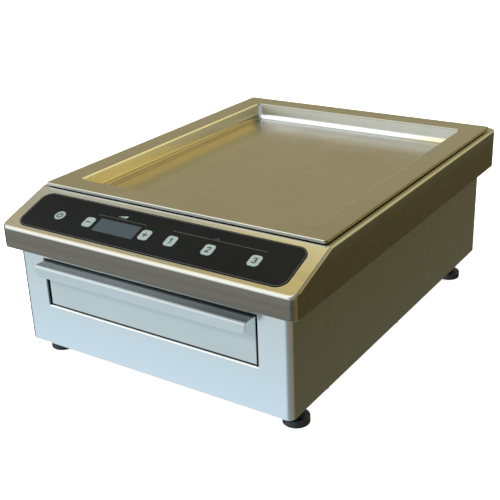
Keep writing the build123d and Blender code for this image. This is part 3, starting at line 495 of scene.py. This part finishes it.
def bridge(bm, rows, close=False, flip=False):
    """Quads between rings of vertices; close also joins the last ring to the first."""
    following = rows[1:] + (rows[:1] if close else [])
    for a, b in zip(rows, following):
        for i in range(len(a)):
            j = (i + 1) % len(a)
            start, end = (j, i) if flip else (i, j)
            bm.faces.new((a[start], a[end], b[end], b[start]))


def loft(bm, rings, capped=False, close=False):
    """A skin over rings of 3-D points, with flat ends if it is capped."""
    rows = [new_ring(bm, ring) for ring in rings]
    bridge(bm, rows, close)
    if capped:
        bm.faces.new(list(reversed(rows[0])))
        bm.faces.new(rows[-1])
    return rows


def fill_between(bm, outer, inner, normal):
    """A flat sheet between two rings of vertices."""
    edges = []
    for ring in (outer, inner):
        for pair in zip(ring, ring[1:] + ring[:1]):
            edges.append(bm.edges.get(pair) or bm.edges.new(pair))
    bmesh.ops.triangle_fill(bm, edges=edges, use_beauty=True, normal=normal)


def prism(bm, outline, z0, z1):
    loft(bm, [flat(outline, z) for z in (z0, z1)], capped=True)


def box_into(bm, x0, x1, y0, y1, z0, z1):
    prism(bm, [(x0, y0), (x1, y0), (x1, y1), (x0, y1)], z0, z1)


def carve(obj, cutter_bm):
    """Cuts a bmesh in millimetres out of an object, and keeps the result as its mesh."""
    bmesh.ops.recalc_face_normals(cutter_bm, faces=cutter_bm.faces)
    bmesh.ops.scale(cutter_bm, vec=(MM, MM, MM), verts=cutter_bm.verts)
    mesh = bpy.data.meshes.new("cutter")
    cutter_bm.to_mesh(mesh)
    cutter_bm.free()
    cutter = bpy.data.objects.new("cutter", mesh)
    bpy.context.scene.collection.objects.link(cutter)
    obj.modifiers.clear()
    boolean = obj.modifiers.new("cut", "BOOLEAN")
    boolean.operation = "DIFFERENCE"
    boolean.solver = "EXACT"
    boolean.object = cutter
    bpy.context.view_layer.update()
    evaluated = obj.evaluated_get(bpy.context.evaluated_depsgraph_get())
    result = bpy.data.meshes.new_from_object(evaluated)
    old = obj.data
    obj.modifiers.clear()
    obj.data = result
    result.name = obj.name
    bpy.data.meshes.remove(old)
    bpy.data.objects.remove(cutter)
    soften(obj)


SLOPE_FRAME = Matrix.Translation(
    (0, FRONT + SLOPE_RUN / 2, NOSE_Z + SLOPE_RISE / 2)
) @ Matrix.Rotation(SLOPE, 4, "X")


def on_slope(points, w):
    """Panel coordinates u, v and a height off the hood's slope, as points in the row frame."""
    return [tuple(SLOPE_FRAME @ Vector((u, v, w))) for u, v in points]


def slope_prism(bm, outline, w0, w1):
    loft(bm, [on_slope(outline, w) for w in (w0, w1)], capped=True)


def key_outline(name, grow=0.0, n=8):
    u = KEYS[name]
    if name == "key_power":
        return circle(POWER_KEY_R + grow, 4 * (n + 1), u, KEY_V)
    return rounded(KEY_W + 2 * grow, KEY_H + 2 * grow, KEY_CORNER + grow, n, u, KEY_V)


def lcd_outline(grow=0.0):
    return rounded(LCD_W + 2 * grow, LCD_H + 2 * grow, LCD_CORNER, 4, LCD_U, KEY_V)


def overlay_outline(inset, n):
    width, height = OVERLAY_W - 2 * inset, OVERLAY_H - 2 * inset
    return rounded(width, height, OVERLAY_CORNER - inset, n, 0, OVERLAY_V)


def window_cutters(bm, w0, w1):
    """Blocks through the slope where the keys and the display show."""
    for name in KEYS:
        slope_prism(bm, key_outline(name, KEY_GAP), w0, w1)
    slope_prism(bm, lcd_outline(LCD_GAP), w0, w1)


# ---------------------------------------------------------------- hood
KNEE_Y = FRONT + SLOPE_RUN


def roof(y):
    """Height of the hood's top over the flat part, before its edges are rounded."""
    slope = SLOPE_RISE / SLOPE_RUN
    t = y - KNEE_Y
    if t >= KNEE_SOFT:
        return HOOD_Z
    if t <= -KNEE_SOFT:
        return HOOD_Z + slope * t
    return HOOD_Z - slope * (KNEE_SOFT - t) ** 2 / (4 * KNEE_SOFT)


def hood_shell(inset, floor_z, hem=0.0):
    """The hood's outside, or the same shape shrunk by a sheet. Built flat, then folded down at the knee."""
    width, depth = HOOD_W - 2 * inset, HOOD_D - 2 * inset
    corner, edge = HOOD_CORNER - inset, HOOD_EDGE - inset

    def ring(d, z):
        outline = rounded(width - 2 * d, depth - 2 * d, corner - d, 8, 0, (FRONT + BACK) / 2)
        return flat(outline, z)

    hem_steps = easing(hem, 4) if hem else [(0.0, 0.0)]
    rings = [ring(d, floor_z + rise) for d, rise in hem_steps]
    rings += [ring(d, HOOD_Z - drop) for drop, d in easing(edge, 7)]
    bm = bmesh.new()
    loft(bm, rings, capped=True)
    for k in range(-KNEE_CUTS, KNEE_CUTS + 1):
        bmesh.ops.bisect_plane(
            bm,
            geom=bm.verts[:] + bm.edges[:] + bm.faces[:],
            plane_co=(0, KNEE_Y + KNEE_SOFT * k / KNEE_CUTS, 0),
            plane_no=(0, 1, 0),
            dist=1e-5,
        )
    for v in bm.verts:
        if v.co.z > HOOD_Z - edge - 0.01:
            steep = SLOPE if v.co.y < KNEE_Y else 0.0
            v.co.z += roof(v.co.y) - HOOD_Z - inset / math.cos(steep)
    return bm


def build_hood():
    hood = make_object("hood_cover", hood_shell(0.0, SKIRT_Z, HOOD_HEM), "hood")
    carve(hood, hood_shell(HOOD_SHEET, SKIRT_Z - 10))
    cutter = bmesh.new()
    width, length = PLATE_W - 2 * HOOD_OPENING_INSET, PLATE_L - 2 * HOOD_OPENING_INSET
    opening = rounded(width, length, HOOD_OPENING_CORNER, 6, 0, PLATE_Y)
    prism(cutter, opening, HOOD_Z - 10.5, HOOD_Z + 9.5)
    window_cutters(cutter, -3.5, 2)
    carve(hood, cutter)
    place(hood, "chassis", "stainless_steel", "hood")


# ---------------------------------------------------------------- griddle plate
def build_plate():
    def ring(inset, z, r):
        return flat(rounded(PLATE_W - 2 * inset, PLATE_L - 2 * inset, r, 8, 0, PLATE_Y), z)

    def drain(r, z):
        return new_ring(bm, flat(circle(r, cy=DRAIN_Y), z))

    low, floor = PLATE_TOP - PLATE_SHEET, RECESS_FLOOR
    turn = math.radians(90.0 - RECESS_TAPER)
    rings = [ring(inset, low + rise, PLATE_CORNER) for inset, rise in easing(PLATE_LOWER_EDGE, 4)]
    for drop, inset in easing(PLATE_UPPER_EDGE, 6):
        rings.append(ring(inset, PLATE_TOP - drop, PLATE_CORNER - inset))
    lip_start = RIM_W - RIM_EDGE * math.tan(turn / 2)
    for k in range(9):
        a = turn * k / 8
        corner = RIM_CORNER + 0.5 * (1 - k / 8)
        inset, z = lip_start + RIM_EDGE * math.sin(a), PLATE_TOP - RIM_EDGE * (1 - math.cos(a))
        rings.append(ring(inset, z, corner))
    wall_end = RIM_W + (PLATE_TOP - floor) * math.tan(math.radians(RECESS_TAPER))
    cove_end = wall_end + COVE * math.tan(turn / 2)
    for k in range(13):
        a = turn * (1 - k / 12)
        rings.append(ring(cove_end - COVE * math.sin(a), floor + COVE * (1 - math.cos(a)), FLOOR_CORNER))

    bm = bmesh.new()
    rows = loft(bm, rings)
    hole = drain(DRAIN_R + 0.6, floor)
    fill_between(bm, rows[-1], hole, (0, 0, 1))
    drain_edge = ((DRAIN_R + 0.2, 0.12), (DRAIN_R, 0.45), (DRAIN_R, PLATE_SHEET))
    drain_wall = [hole] + [drain(r, floor - depth) for r, depth in drain_edge]
    bridge(bm, drain_wall)
    underside = (
        (RIM_W - PLATE_SHEET, low, 9.0),
        (wall_end - PLATE_SHEET + 1.2, floor + 3.0, 10.0),
        (wall_end + PLATE_SHEET, floor - PLATE_SHEET, 8.0),
    )
    under = [rows[0]] + [new_ring(bm, ring(*step)) for step in underside]
    bridge(bm, under, flip=True)
    fill_between(bm, under[-1], drain_wall[-1], (0, 0, -1))
    place(make_object("cooking_plate", bm, "plate"), "chassis", "cooking_steel", "griddle_plate")


# ---------------------------------------------------------------- casing
def opening_edge(grow):
    """Half width, bottom and top of the drawer's opening, a distance out from the folded sheet."""
    return OPEN_HALF + 0.6 * grow, OPEN_Z0 - 1.25 * grow, OPEN_Z1 + 0.3 * grow


def build_casing():
    length = CASING_BACK - CASING_FRONT

    def outline(inset, corner, n=8):
        width, centre = 2 * CASING_HALF, (CASING_FRONT + CASING_BACK) / 2
        return rounded(width - 2 * inset, length - 2 * inset, corner, n, 0, centre)

    rings = [
        flat(outline(d, CASING_CORNER - d), CASING_Z0 + rise) for d, rise in easing(CASING_EDGE, 4)
    ]
    rings.append(flat(outline(0.0, CASING_CORNER), CASING_Z1))
    bm = bmesh.new()
    loft(bm, rings, capped=True)
    casing = make_object("lower_casing", bm, "casing")
    cutter = bmesh.new()
    inside = outline(CASING_SHEET, CASING_CORNER - CASING_SHEET)
    prism(cutter, inside, CASING_Z0 + CASING_SHEET, CASING_Z1 + 5)
    carve(casing, cutter)

    cutter = bmesh.new()
    prism(cutter, outline(CASING_SHEET + CASING_FLANGE, 3, 4), CASING_Z0 - 3, CASING_Z0 + 3)
    half, sill = CASING_HALF - REAR_OPENING_INSET, CASING_Z0 + CASING_SHEET + REAR_OPENING_SILL
    box_into(cutter, -half, half, CASING_BACK - 4, CASING_BACK + 4, sill, CASING_Z1 + 4)
    x, z0, z1 = opening_edge(RETURN_BEND)
    box_into(cutter, -x, x, CASING_FRONT - 2, CASING_FRONT + 6, z0, z1)
    carve(casing, cutter)

    bend, depth, sheet, edge = RETURN_BEND, RETURN_DEPTH, CASING_SHEET, 0.4
    inner = bend - sheet
    section = [(bend - bend * c, bend - bend * s) for s, c in quarter(8)]
    section += [(depth - edge, 0.0), (depth, edge), (depth, sheet - edge), (depth - edge, sheet)]
    section += [(bend - inner * c, bend - inner * s) for s, c in reversed(quarter(8))]
    rings = []
    for y, grow in section:
        x, z0, z1 = opening_edge(grow)
        rings.append(upright(x, CASING_FRONT + y, z0, z1))
    flange = bmesh.new()
    loft(flange, rings, close=True)
    returns = make_object("drawer_opening_returns", flange, "returns")
    place(returns, "chassis", "stainless_steel")
    place(casing, "chassis", "stainless_steel", "casing")


# ---------------------------------------------------------------- drawer
def build_drawer_front():
    half, sheet, z0, z1 = DRAWER_HALF, DRAWER_SHEET, DRAWER_Z0, DRAWER_Z1
    back = DRAWER_FACE + sheet + DRAWER_RETURN
    rings = [upright(half - d, DRAWER_FACE + y, z0 + d, z1) for d, y in easing(DRAWER_EDGE, 4)]
    rings.append(upright(half, back, z0, z1))
    bm = bmesh.new()
    loft(bm, rings, capped=True)
    front = make_object("drawer_panel", bm, "drawer")
    cutter = bmesh.new()
    inside = half - sheet
    box_into(cutter, -inside, inside, DRAWER_FACE + sheet, back + 3, z0 + sheet, z1 + 3)
    carve(front, cutter)
    place(front, "drawer", "stainless_steel", "drawer_front")


def build_handle():
    """One strip, bent forward and then down into a lip whose lower corners are rounded."""
    sheet, corner = DRAWER_SHEET, PULL_CORNER
    top = DRAWER_Z1 + sheet
    bend_z, lip_z = top - PULL_BEND, top - PULL_LIP
    path = [(DRAWER_FACE + sheet, top), (DRAWER_FACE - PULL_FLAT, top)]
    path += arc(HANDLE_Y + PULL_BEND, bend_z, PULL_BEND, 90, 180, 10)
    corner_columns = [-DRAWER_HALF + d for _, d in easing(corner, 8)]
    straight = 2 * DRAWER_HALF - 2 * corner
    columns = corner_columns + [-DRAWER_HALF + corner + straight * k / 24 for k in range(1, 24)]
    columns += [-x for x in reversed(corner_columns)]
    bm = bmesh.new()
    outer, inner = [], []
    for x in columns:
        edge = DRAWER_HALF - abs(x)
        lifted = 0.0
        if edge < corner:
            lifted = corner - math.sqrt(max(0.0, corner**2 - (corner - edge) ** 2))
        fall = lip_z + lifted - bend_z
        line = path + [(HANDLE_Y, bend_z + fall * k / 5) for k in range(1, 6)]
        row_out, row_in = [], []
        for i, (y, z) in enumerate(line):
            before = line[max(i - 1, 0)]
            after = line[min(i + 1, len(line) - 1)]
            ty, tz = after[0] - before[0], after[1] - before[1]
            size = math.hypot(ty, tz)
            ny, nz = -tz / size, ty / size
            row_out.append(bm.verts.new((x, y, z)))
            row_in.append(bm.verts.new((x, y + ny * sheet, z + nz * sheet)))
        outer.append(row_out)
        inner.append(row_in)
    last_column, last_row = len(columns) - 1, len(outer[0]) - 1
    for side, flip in ((outer, False), (inner, True)):
        for c in range(last_column):
            for r in range(last_row):
                quad = (side[c][r], side[c + 1][r], side[c + 1][r + 1], side[c][r + 1])
                bm.faces.new(tuple(reversed(quad)) if flip else quad)
    for c in (0, last_column):
        for r in range(last_row):
            bm.faces.new((outer[c][r], outer[c][r + 1], inner[c][r + 1], inner[c][r]))
    for r in (0, last_row):
        for c in range(last_column):
            bm.faces.new((outer[c][r], outer[c + 1][r], inner[c + 1][r], inner[c][r]))
    handle = make_object("drawer_pull", bm, "pull", 40.0)
    place(handle, "drawer", "stainless_steel", "drawer_handle")


# ---------------------------------------------------------------- control panel
SYMBOLS = {
    "key_power": [[(0.0, 0.6), (0.0, 3.4)], arc(0.0, -0.2, 2.9, 125, 415, 14)],
    "key_minus": [[(-2.6, 0.0), (2.6, 0.0)]],
    "key_plus": [[(-2.6, 0.0), (2.6, 0.0)], [(0.0, -2.6), (0.0, 2.6)]],
    "key_preset_1": [[(-1.2, 1.9), (0.2, 3.0), (0.2, -3.0)]],
    "key_preset_2": [
        [(-1.7, 2.0), (-0.9, 2.9), (0.9, 2.9), (1.7, 2.0), (1.5, 0.8), (-1.8, -2.9), (1.9, -2.9)]
    ],
    "key_preset_3": [
        [(-1.7, 2.2), (-0.9, 2.9), (0.9, 2.9), (1.7, 2.0), (1.5, 0.6), (0.6, 0.1)],
        [(-0.5, 0.1), (0.6, 0.1), (1.7, -0.6), (1.8, -2.0), (0.9, -2.9), (-0.9, -2.9), (-1.8, -2.1)],
    ],
}
SYMBOL_SCALE, SYMBOL_STROKE = 1.2, 1.35

# an inset from the outline and a height off the slope, from the bottom up
OVERLAY_SECTION = ((0.0, 0.0), (0.0, 0.35), (0.08, 0.52), (0.25, OVERLAY_SHEET))
KEY_SECTION = ((0.0, -1.9), (0.0, 0.75), (0.12, 0.98), (0.4, 1.09), (1.5, 1.12))
LCD_SECTION = ((0.0, -1.5), (0.0, 0.5), (0.15, 0.6))

# two lines over the keypad's groups: left end, right end, height, and the tick's middle
PRINT_LINES = ((-87.5, -16.4, 11.3, -50.7), (19.5, 139.5, 11.8, 76.4))
PRINT_BORDER = (1.3, 1.8)
PRINT_W0, PRINT_W1 = OVERLAY_SHEET, OVERLAY_SHEET + 0.06
LEVEL_WEDGE = [(-60.0, 14.6), (-47.5, 14.6), (-47.5, 18.4)]


def band(bm, outline_a, outline_b, w0, w1):
    """A flat closed ring between two outlines on the slope."""
    corners = ((outline_a, w0), (outline_a, w1), (outline_b, w1), (outline_b, w0))
    loft(bm, [on_slope(outline, w) for outline, w in corners], close=True)


def bar(bm, u0, v0, u1, v1, width, w0, w1):
    du, dv = u1 - u0, v1 - v0
    size = math.hypot(du, dv)
    nu, nv = -dv / size * width / 2, du / size * width / 2
    quad = [(u0 + nu, v0 + nv), (u0 - nu, v0 - nv), (u1 - nu, v1 - nv), (u1 + nu, v1 + nv)]
    slope_prism(bm, quad, w0, w1)


def stroke(bm, points, width, w0, w1):
    """A printed line through several points, with square joints."""
    for (u0, v0), (u1, v1) in zip(points, points[1:]):
        du, dv = u1 - u0, v1 - v0
        reach = 0.35 * width / math.hypot(du, dv)
        ends = (u0 - du * reach, v0 - dv * reach, u1 + du * reach, v1 + dv * reach)
        bar(bm, *ends, width, w0, w1)


def build_key(name):
    """A key cap with the flange that holds it behind the keypad, and the sign on it."""
    body = name.replace("key_", "button_")
    bm = bmesh.new()
    loft(bm, [on_slope(key_outline(name, -d), w) for d, w in KEY_SECTION], capped=True)
    slope_prism(bm, key_outline(name, KEY_FLANGE), -2.9, -1.9)
    place(make_object(name + "_cap", bm, "key"), body, "key_film", name)
    bm = bmesh.new()
    for line in SYMBOLS[name]:
        points = [(KEYS[name] + SYMBOL_SCALE * u, KEY_V + SYMBOL_SCALE * v) for u, v in line]
        stroke(bm, points, SYMBOL_STROKE, 1.10, 1.17)
    place(make_object(name + "_mark", bm, "symbol"), body, "key_film")


def build_panel():
    bm = bmesh.new()
    loft(bm, [on_slope(overlay_outline(d, 12), w) for d, w in OVERLAY_SECTION], capped=True)
    overlay = make_object("control_overlay_film", bm, "film")
    cutter = bmesh.new()
    window_cutters(cutter, -2, 2)
    carve(overlay, cutter)
    place(overlay, "chassis", "black_film", "control_overlay")
    for name in KEYS:
        build_key(name)
    bm = bmesh.new()
    loft(bm, [on_slope(lcd_outline(-d), w) for d, w in LCD_SECTION], capped=True)
    place(make_object("display_window", bm, "lcd"), "chassis", "lcd_glass", "lcd_window")


def build_print():
    bm = bmesh.new()
    band(bm, *(overlay_outline(inset, 10) for inset in PRINT_BORDER), PRINT_W0, PRINT_W1)
    for u0, u1, v, mark in PRINT_LINES:
        bar(bm, u0, v, u1, v, 0.5, PRINT_W0, PRINT_W1)
        bar(bm, mark - 3, v + 1.2, mark, v + 3.0, 0.7, PRINT_W0, PRINT_W1)
        bar(bm, mark, v + 3.0, mark + 3, v + 1.2, 0.7, PRINT_W0, PRINT_W1)
    place(make_object("overlay_print", bm, "print"), "chassis", "black_film")
    bm = bmesh.new()
    slope_prism(bm, LEVEL_WEDGE, PRINT_W0, PRINT_W1 + 0.02)
    place(make_object("overlay_level_mark", bm, "key"), "chassis", "key_film")


# ---------------------------------------------------------------- feet
# radius and height, from the worktop up
FOOT_SECTION = [
    (13.4, 0.0), (14.7, 0.25), (15.2, 0.9), (15.2, 7.2),
    *arc(13.7, 7.5, 1.5, 20, 80, 3), (13.7, 9.0),
    (9.4, 9.05), (8.6, 9.5), (8.5, 10.4), (8.5, 20.2),
]


def build_feet():
    bm = bmesh.new()
    for x, y in FEET:
        loft(bm, [flat(circle(r, 64, x, y), z) for r, z in FOOT_SECTION], capped=True)
    place(make_object("levelling_feet", bm, "rubber"), "chassis", "black_rubber", "feet")


build_hood()
build_plate()
build_casing()
build_drawer_front()
build_handle()
build_panel()
build_print()
build_feet()


# ---------------------------------------------------------------- floor, light and camera
FLOOR_HALF, DOME_R = 6.0, 5.5


def white_paint(name, glow, rough=0.5):
    n = Nodes(name)
    n.set("Base Color", (0.9, 0.9, 0.9, 1))
    n.set("Roughness", rough)
    n.set("Emission Color", (1, 1, 1, 1))
    n.set("Emission Strength", glow)
    return n.mat


def stage_object(name, mesh, mat):
    """Something round the object that isn't part of it, and isn't mirrored in it."""
    obj = bpy.data.objects.new(name, mesh)
    bpy.context.scene.collection.objects.link(obj)
    mesh.materials.append(mat)
    obj.visible_glossy = False
    return obj


def build_stage():
    size = FLOOR_HALF
    mesh = bpy.data.meshes.new("studio_floor")
    corners = [(-size, -size, 0), (size, -size, 0), (size, size, 0), (-size, size, 0)]
    mesh.from_pydata(corners, [], [(0, 1, 2, 3)])
    stage_object("studio_floor", mesh, white_paint("studio_floor_paint", 0.8, 0.9))
    bm = bmesh.new()
    bmesh.ops.create_icosphere(bm, subdivisions=4, radius=DOME_R)
    mesh = bpy.data.meshes.new("studio_backdrop")
    bm.to_mesh(mesh)
    bm.free()
    dome = stage_object("studio_backdrop", mesh, white_paint("studio_backdrop_paint", 1.0))
    dome.visible_diffuse = dome.visible_shadow = dome.visible_transmission = False


# direction, full and faded angles in degrees, colour: the soft panels round the studio
WORLD_LOBES = (
    ((0.60, 0.60, -0.50), 45, 75, (0.10, 0.088, 0.048)),
    ((-0.40, 0.15, -0.90), 28, 48, (1.1, 1.15, 1.15)),
    ((0.45, -0.80, -0.40), 20, 38, (0.25, 0.33, 0.35)),
    ((0.90, -0.22, -0.40), 16, 32, (0.30, 0.245, 0.165)),
    ((-0.85, 0.25, -0.42), 18, 36, (0.10, 0.13, 0.14)),
    ((-0.45, -0.85, -0.25), 30, 52, (0.76, 0.89, 0.96)),
    ((-0.515, 0.760, 0.396), 22, 45, (0.43, 0.372, 0.224)),
    ((0.56, 0.78, 0.28), 18, 34, (0.80, 0.69, 0.34)),
    ((-0.515, -0.80, 0.22), 12, 24, (1.25, 1.34, 1.36)),
    ((-0.515, -0.36, 0.78), 24, 44, (1.75, 1.78, 1.75)),
    ((-0.40, 0.36, 0.84), 5, 12, (1.15, 0.99, 0.47)),
    ((0.22, 0.70, 0.68), 6, 13, (1.2, 1.06, 0.6)),
)
WORLD_BASE = (0.40, 0.40, 0.38, 1)


def build_world():
    world = bpy.data.worlds.new("studio_world")
    bpy.context.scene.world = world
    world.use_nodes = True
    tree = world.node_tree
    tree.nodes.clear()
    out = tree.nodes.new("ShaderNodeOutputWorld")
    background = tree.nodes.new("ShaderNodeBackground")
    coord = tree.nodes.new("ShaderNodeTexCoord")
    current = WORLD_BASE
    for direction, inner, outer, colour in WORLD_LOBES:
        dot = tree.nodes.new("ShaderNodeVectorMath")
        dot.operation = "DOT_PRODUCT"
        put(tree, dot.inputs[0], coord.outputs["Generated"])
        put(tree, dot.inputs[1], Vector(direction).normalized())
        ramp = tree.nodes.new("ShaderNodeMapRange")
        ramp.interpolation_type = "SMOOTHSTEP"
        put(tree, ramp.inputs["Value"], dot.outputs["Value"])
        put(tree, ramp.inputs["From Min"], math.cos(math.radians(outer)))
        put(tree, ramp.inputs["From Max"], math.cos(math.radians(inner)))
        mix = tree.nodes.new("ShaderNodeMix")
        mix.data_type = "RGBA"
        put(tree, mix.inputs[0], ramp.outputs["Result"])
        put(tree, mix.inputs[6], current)
        put(tree, mix.inputs[7], (*colour, 1))
        current = mix.outputs[2]
    put(tree, background.inputs["Color"], current)
    put(tree, background.inputs["Strength"], 1.0)
    put(tree, out.inputs[0], background.outputs[0])


def area_light(name, position, target, size, power, colour):
    data = bpy.data.lights.new(name, "AREA")
    data.shape = "RECTANGLE"
    data.size, data.size_y = size
    data.energy = power
    data.color = colour
    light = bpy.data.objects.new(name, data)
    light.location = position
    toward = Vector(target) - Vector(position)
    light.rotation_euler = toward.to_track_quat("-Z", "Y").to_euler()
    bpy.context.scene.collection.objects.link(light)
    light.visible_glossy = False


# the photograph's camera, as solved from the object's straight edges
CAMERA_AZIMUTH, CAMERA_ELEVATION, CAMERA_ROLL = 34.109, 23.314, -2.224
CAMERA_PLACE = (0.60937, -0.94703, 0.56712)
CAMERA_LENS, CAMERA_SENSOR = 67.03, 36.0


def build_camera():
    azimuth, elevation, roll = map(math.radians, (CAMERA_AZIMUTH, CAMERA_ELEVATION, CAMERA_ROLL))
    level = math.cos(elevation)
    back = Vector((math.sin(azimuth) * level, -math.cos(azimuth) * level, math.sin(elevation)))
    right = (-back).cross(Vector((0, 0, 1))).normalized()
    up = right.cross(-back)
    turned = right * math.cos(roll) + up * math.sin(roll)
    lifted = up * math.cos(roll) - right * math.sin(roll)
    data = bpy.data.cameras.new("photo_camera")
    data.sensor_width = CAMERA_SENSOR
    data.lens = CAMERA_LENS
    data.clip_start = 0.05
    data.clip_end = 50.0
    camera = bpy.data.objects.new("photo_camera", data)
    rows = zip(turned, lifted, back, CAMERA_PLACE)
    camera.matrix_world = Matrix((*rows, (0, 0, 0, 1)))
    bpy.context.scene.collection.objects.link(camera)
    bpy.context.scene.camera = camera


build_stage()
build_world()
area_light("key_softbox", (0.4, -1.4, 1.9), (0, 0, 0.15), (1.6, 1.2), 26.0, (1.0, 0.98, 0.94))
area_light("top_softbox", (-0.9, 0.6, 2.2), (0, 0, 0.15), (1.6, 1.6), 22.0, (1.0, 0.97, 0.9))
build_camera()
bpy.context.scene.view_settings.view_transform = "Standard"
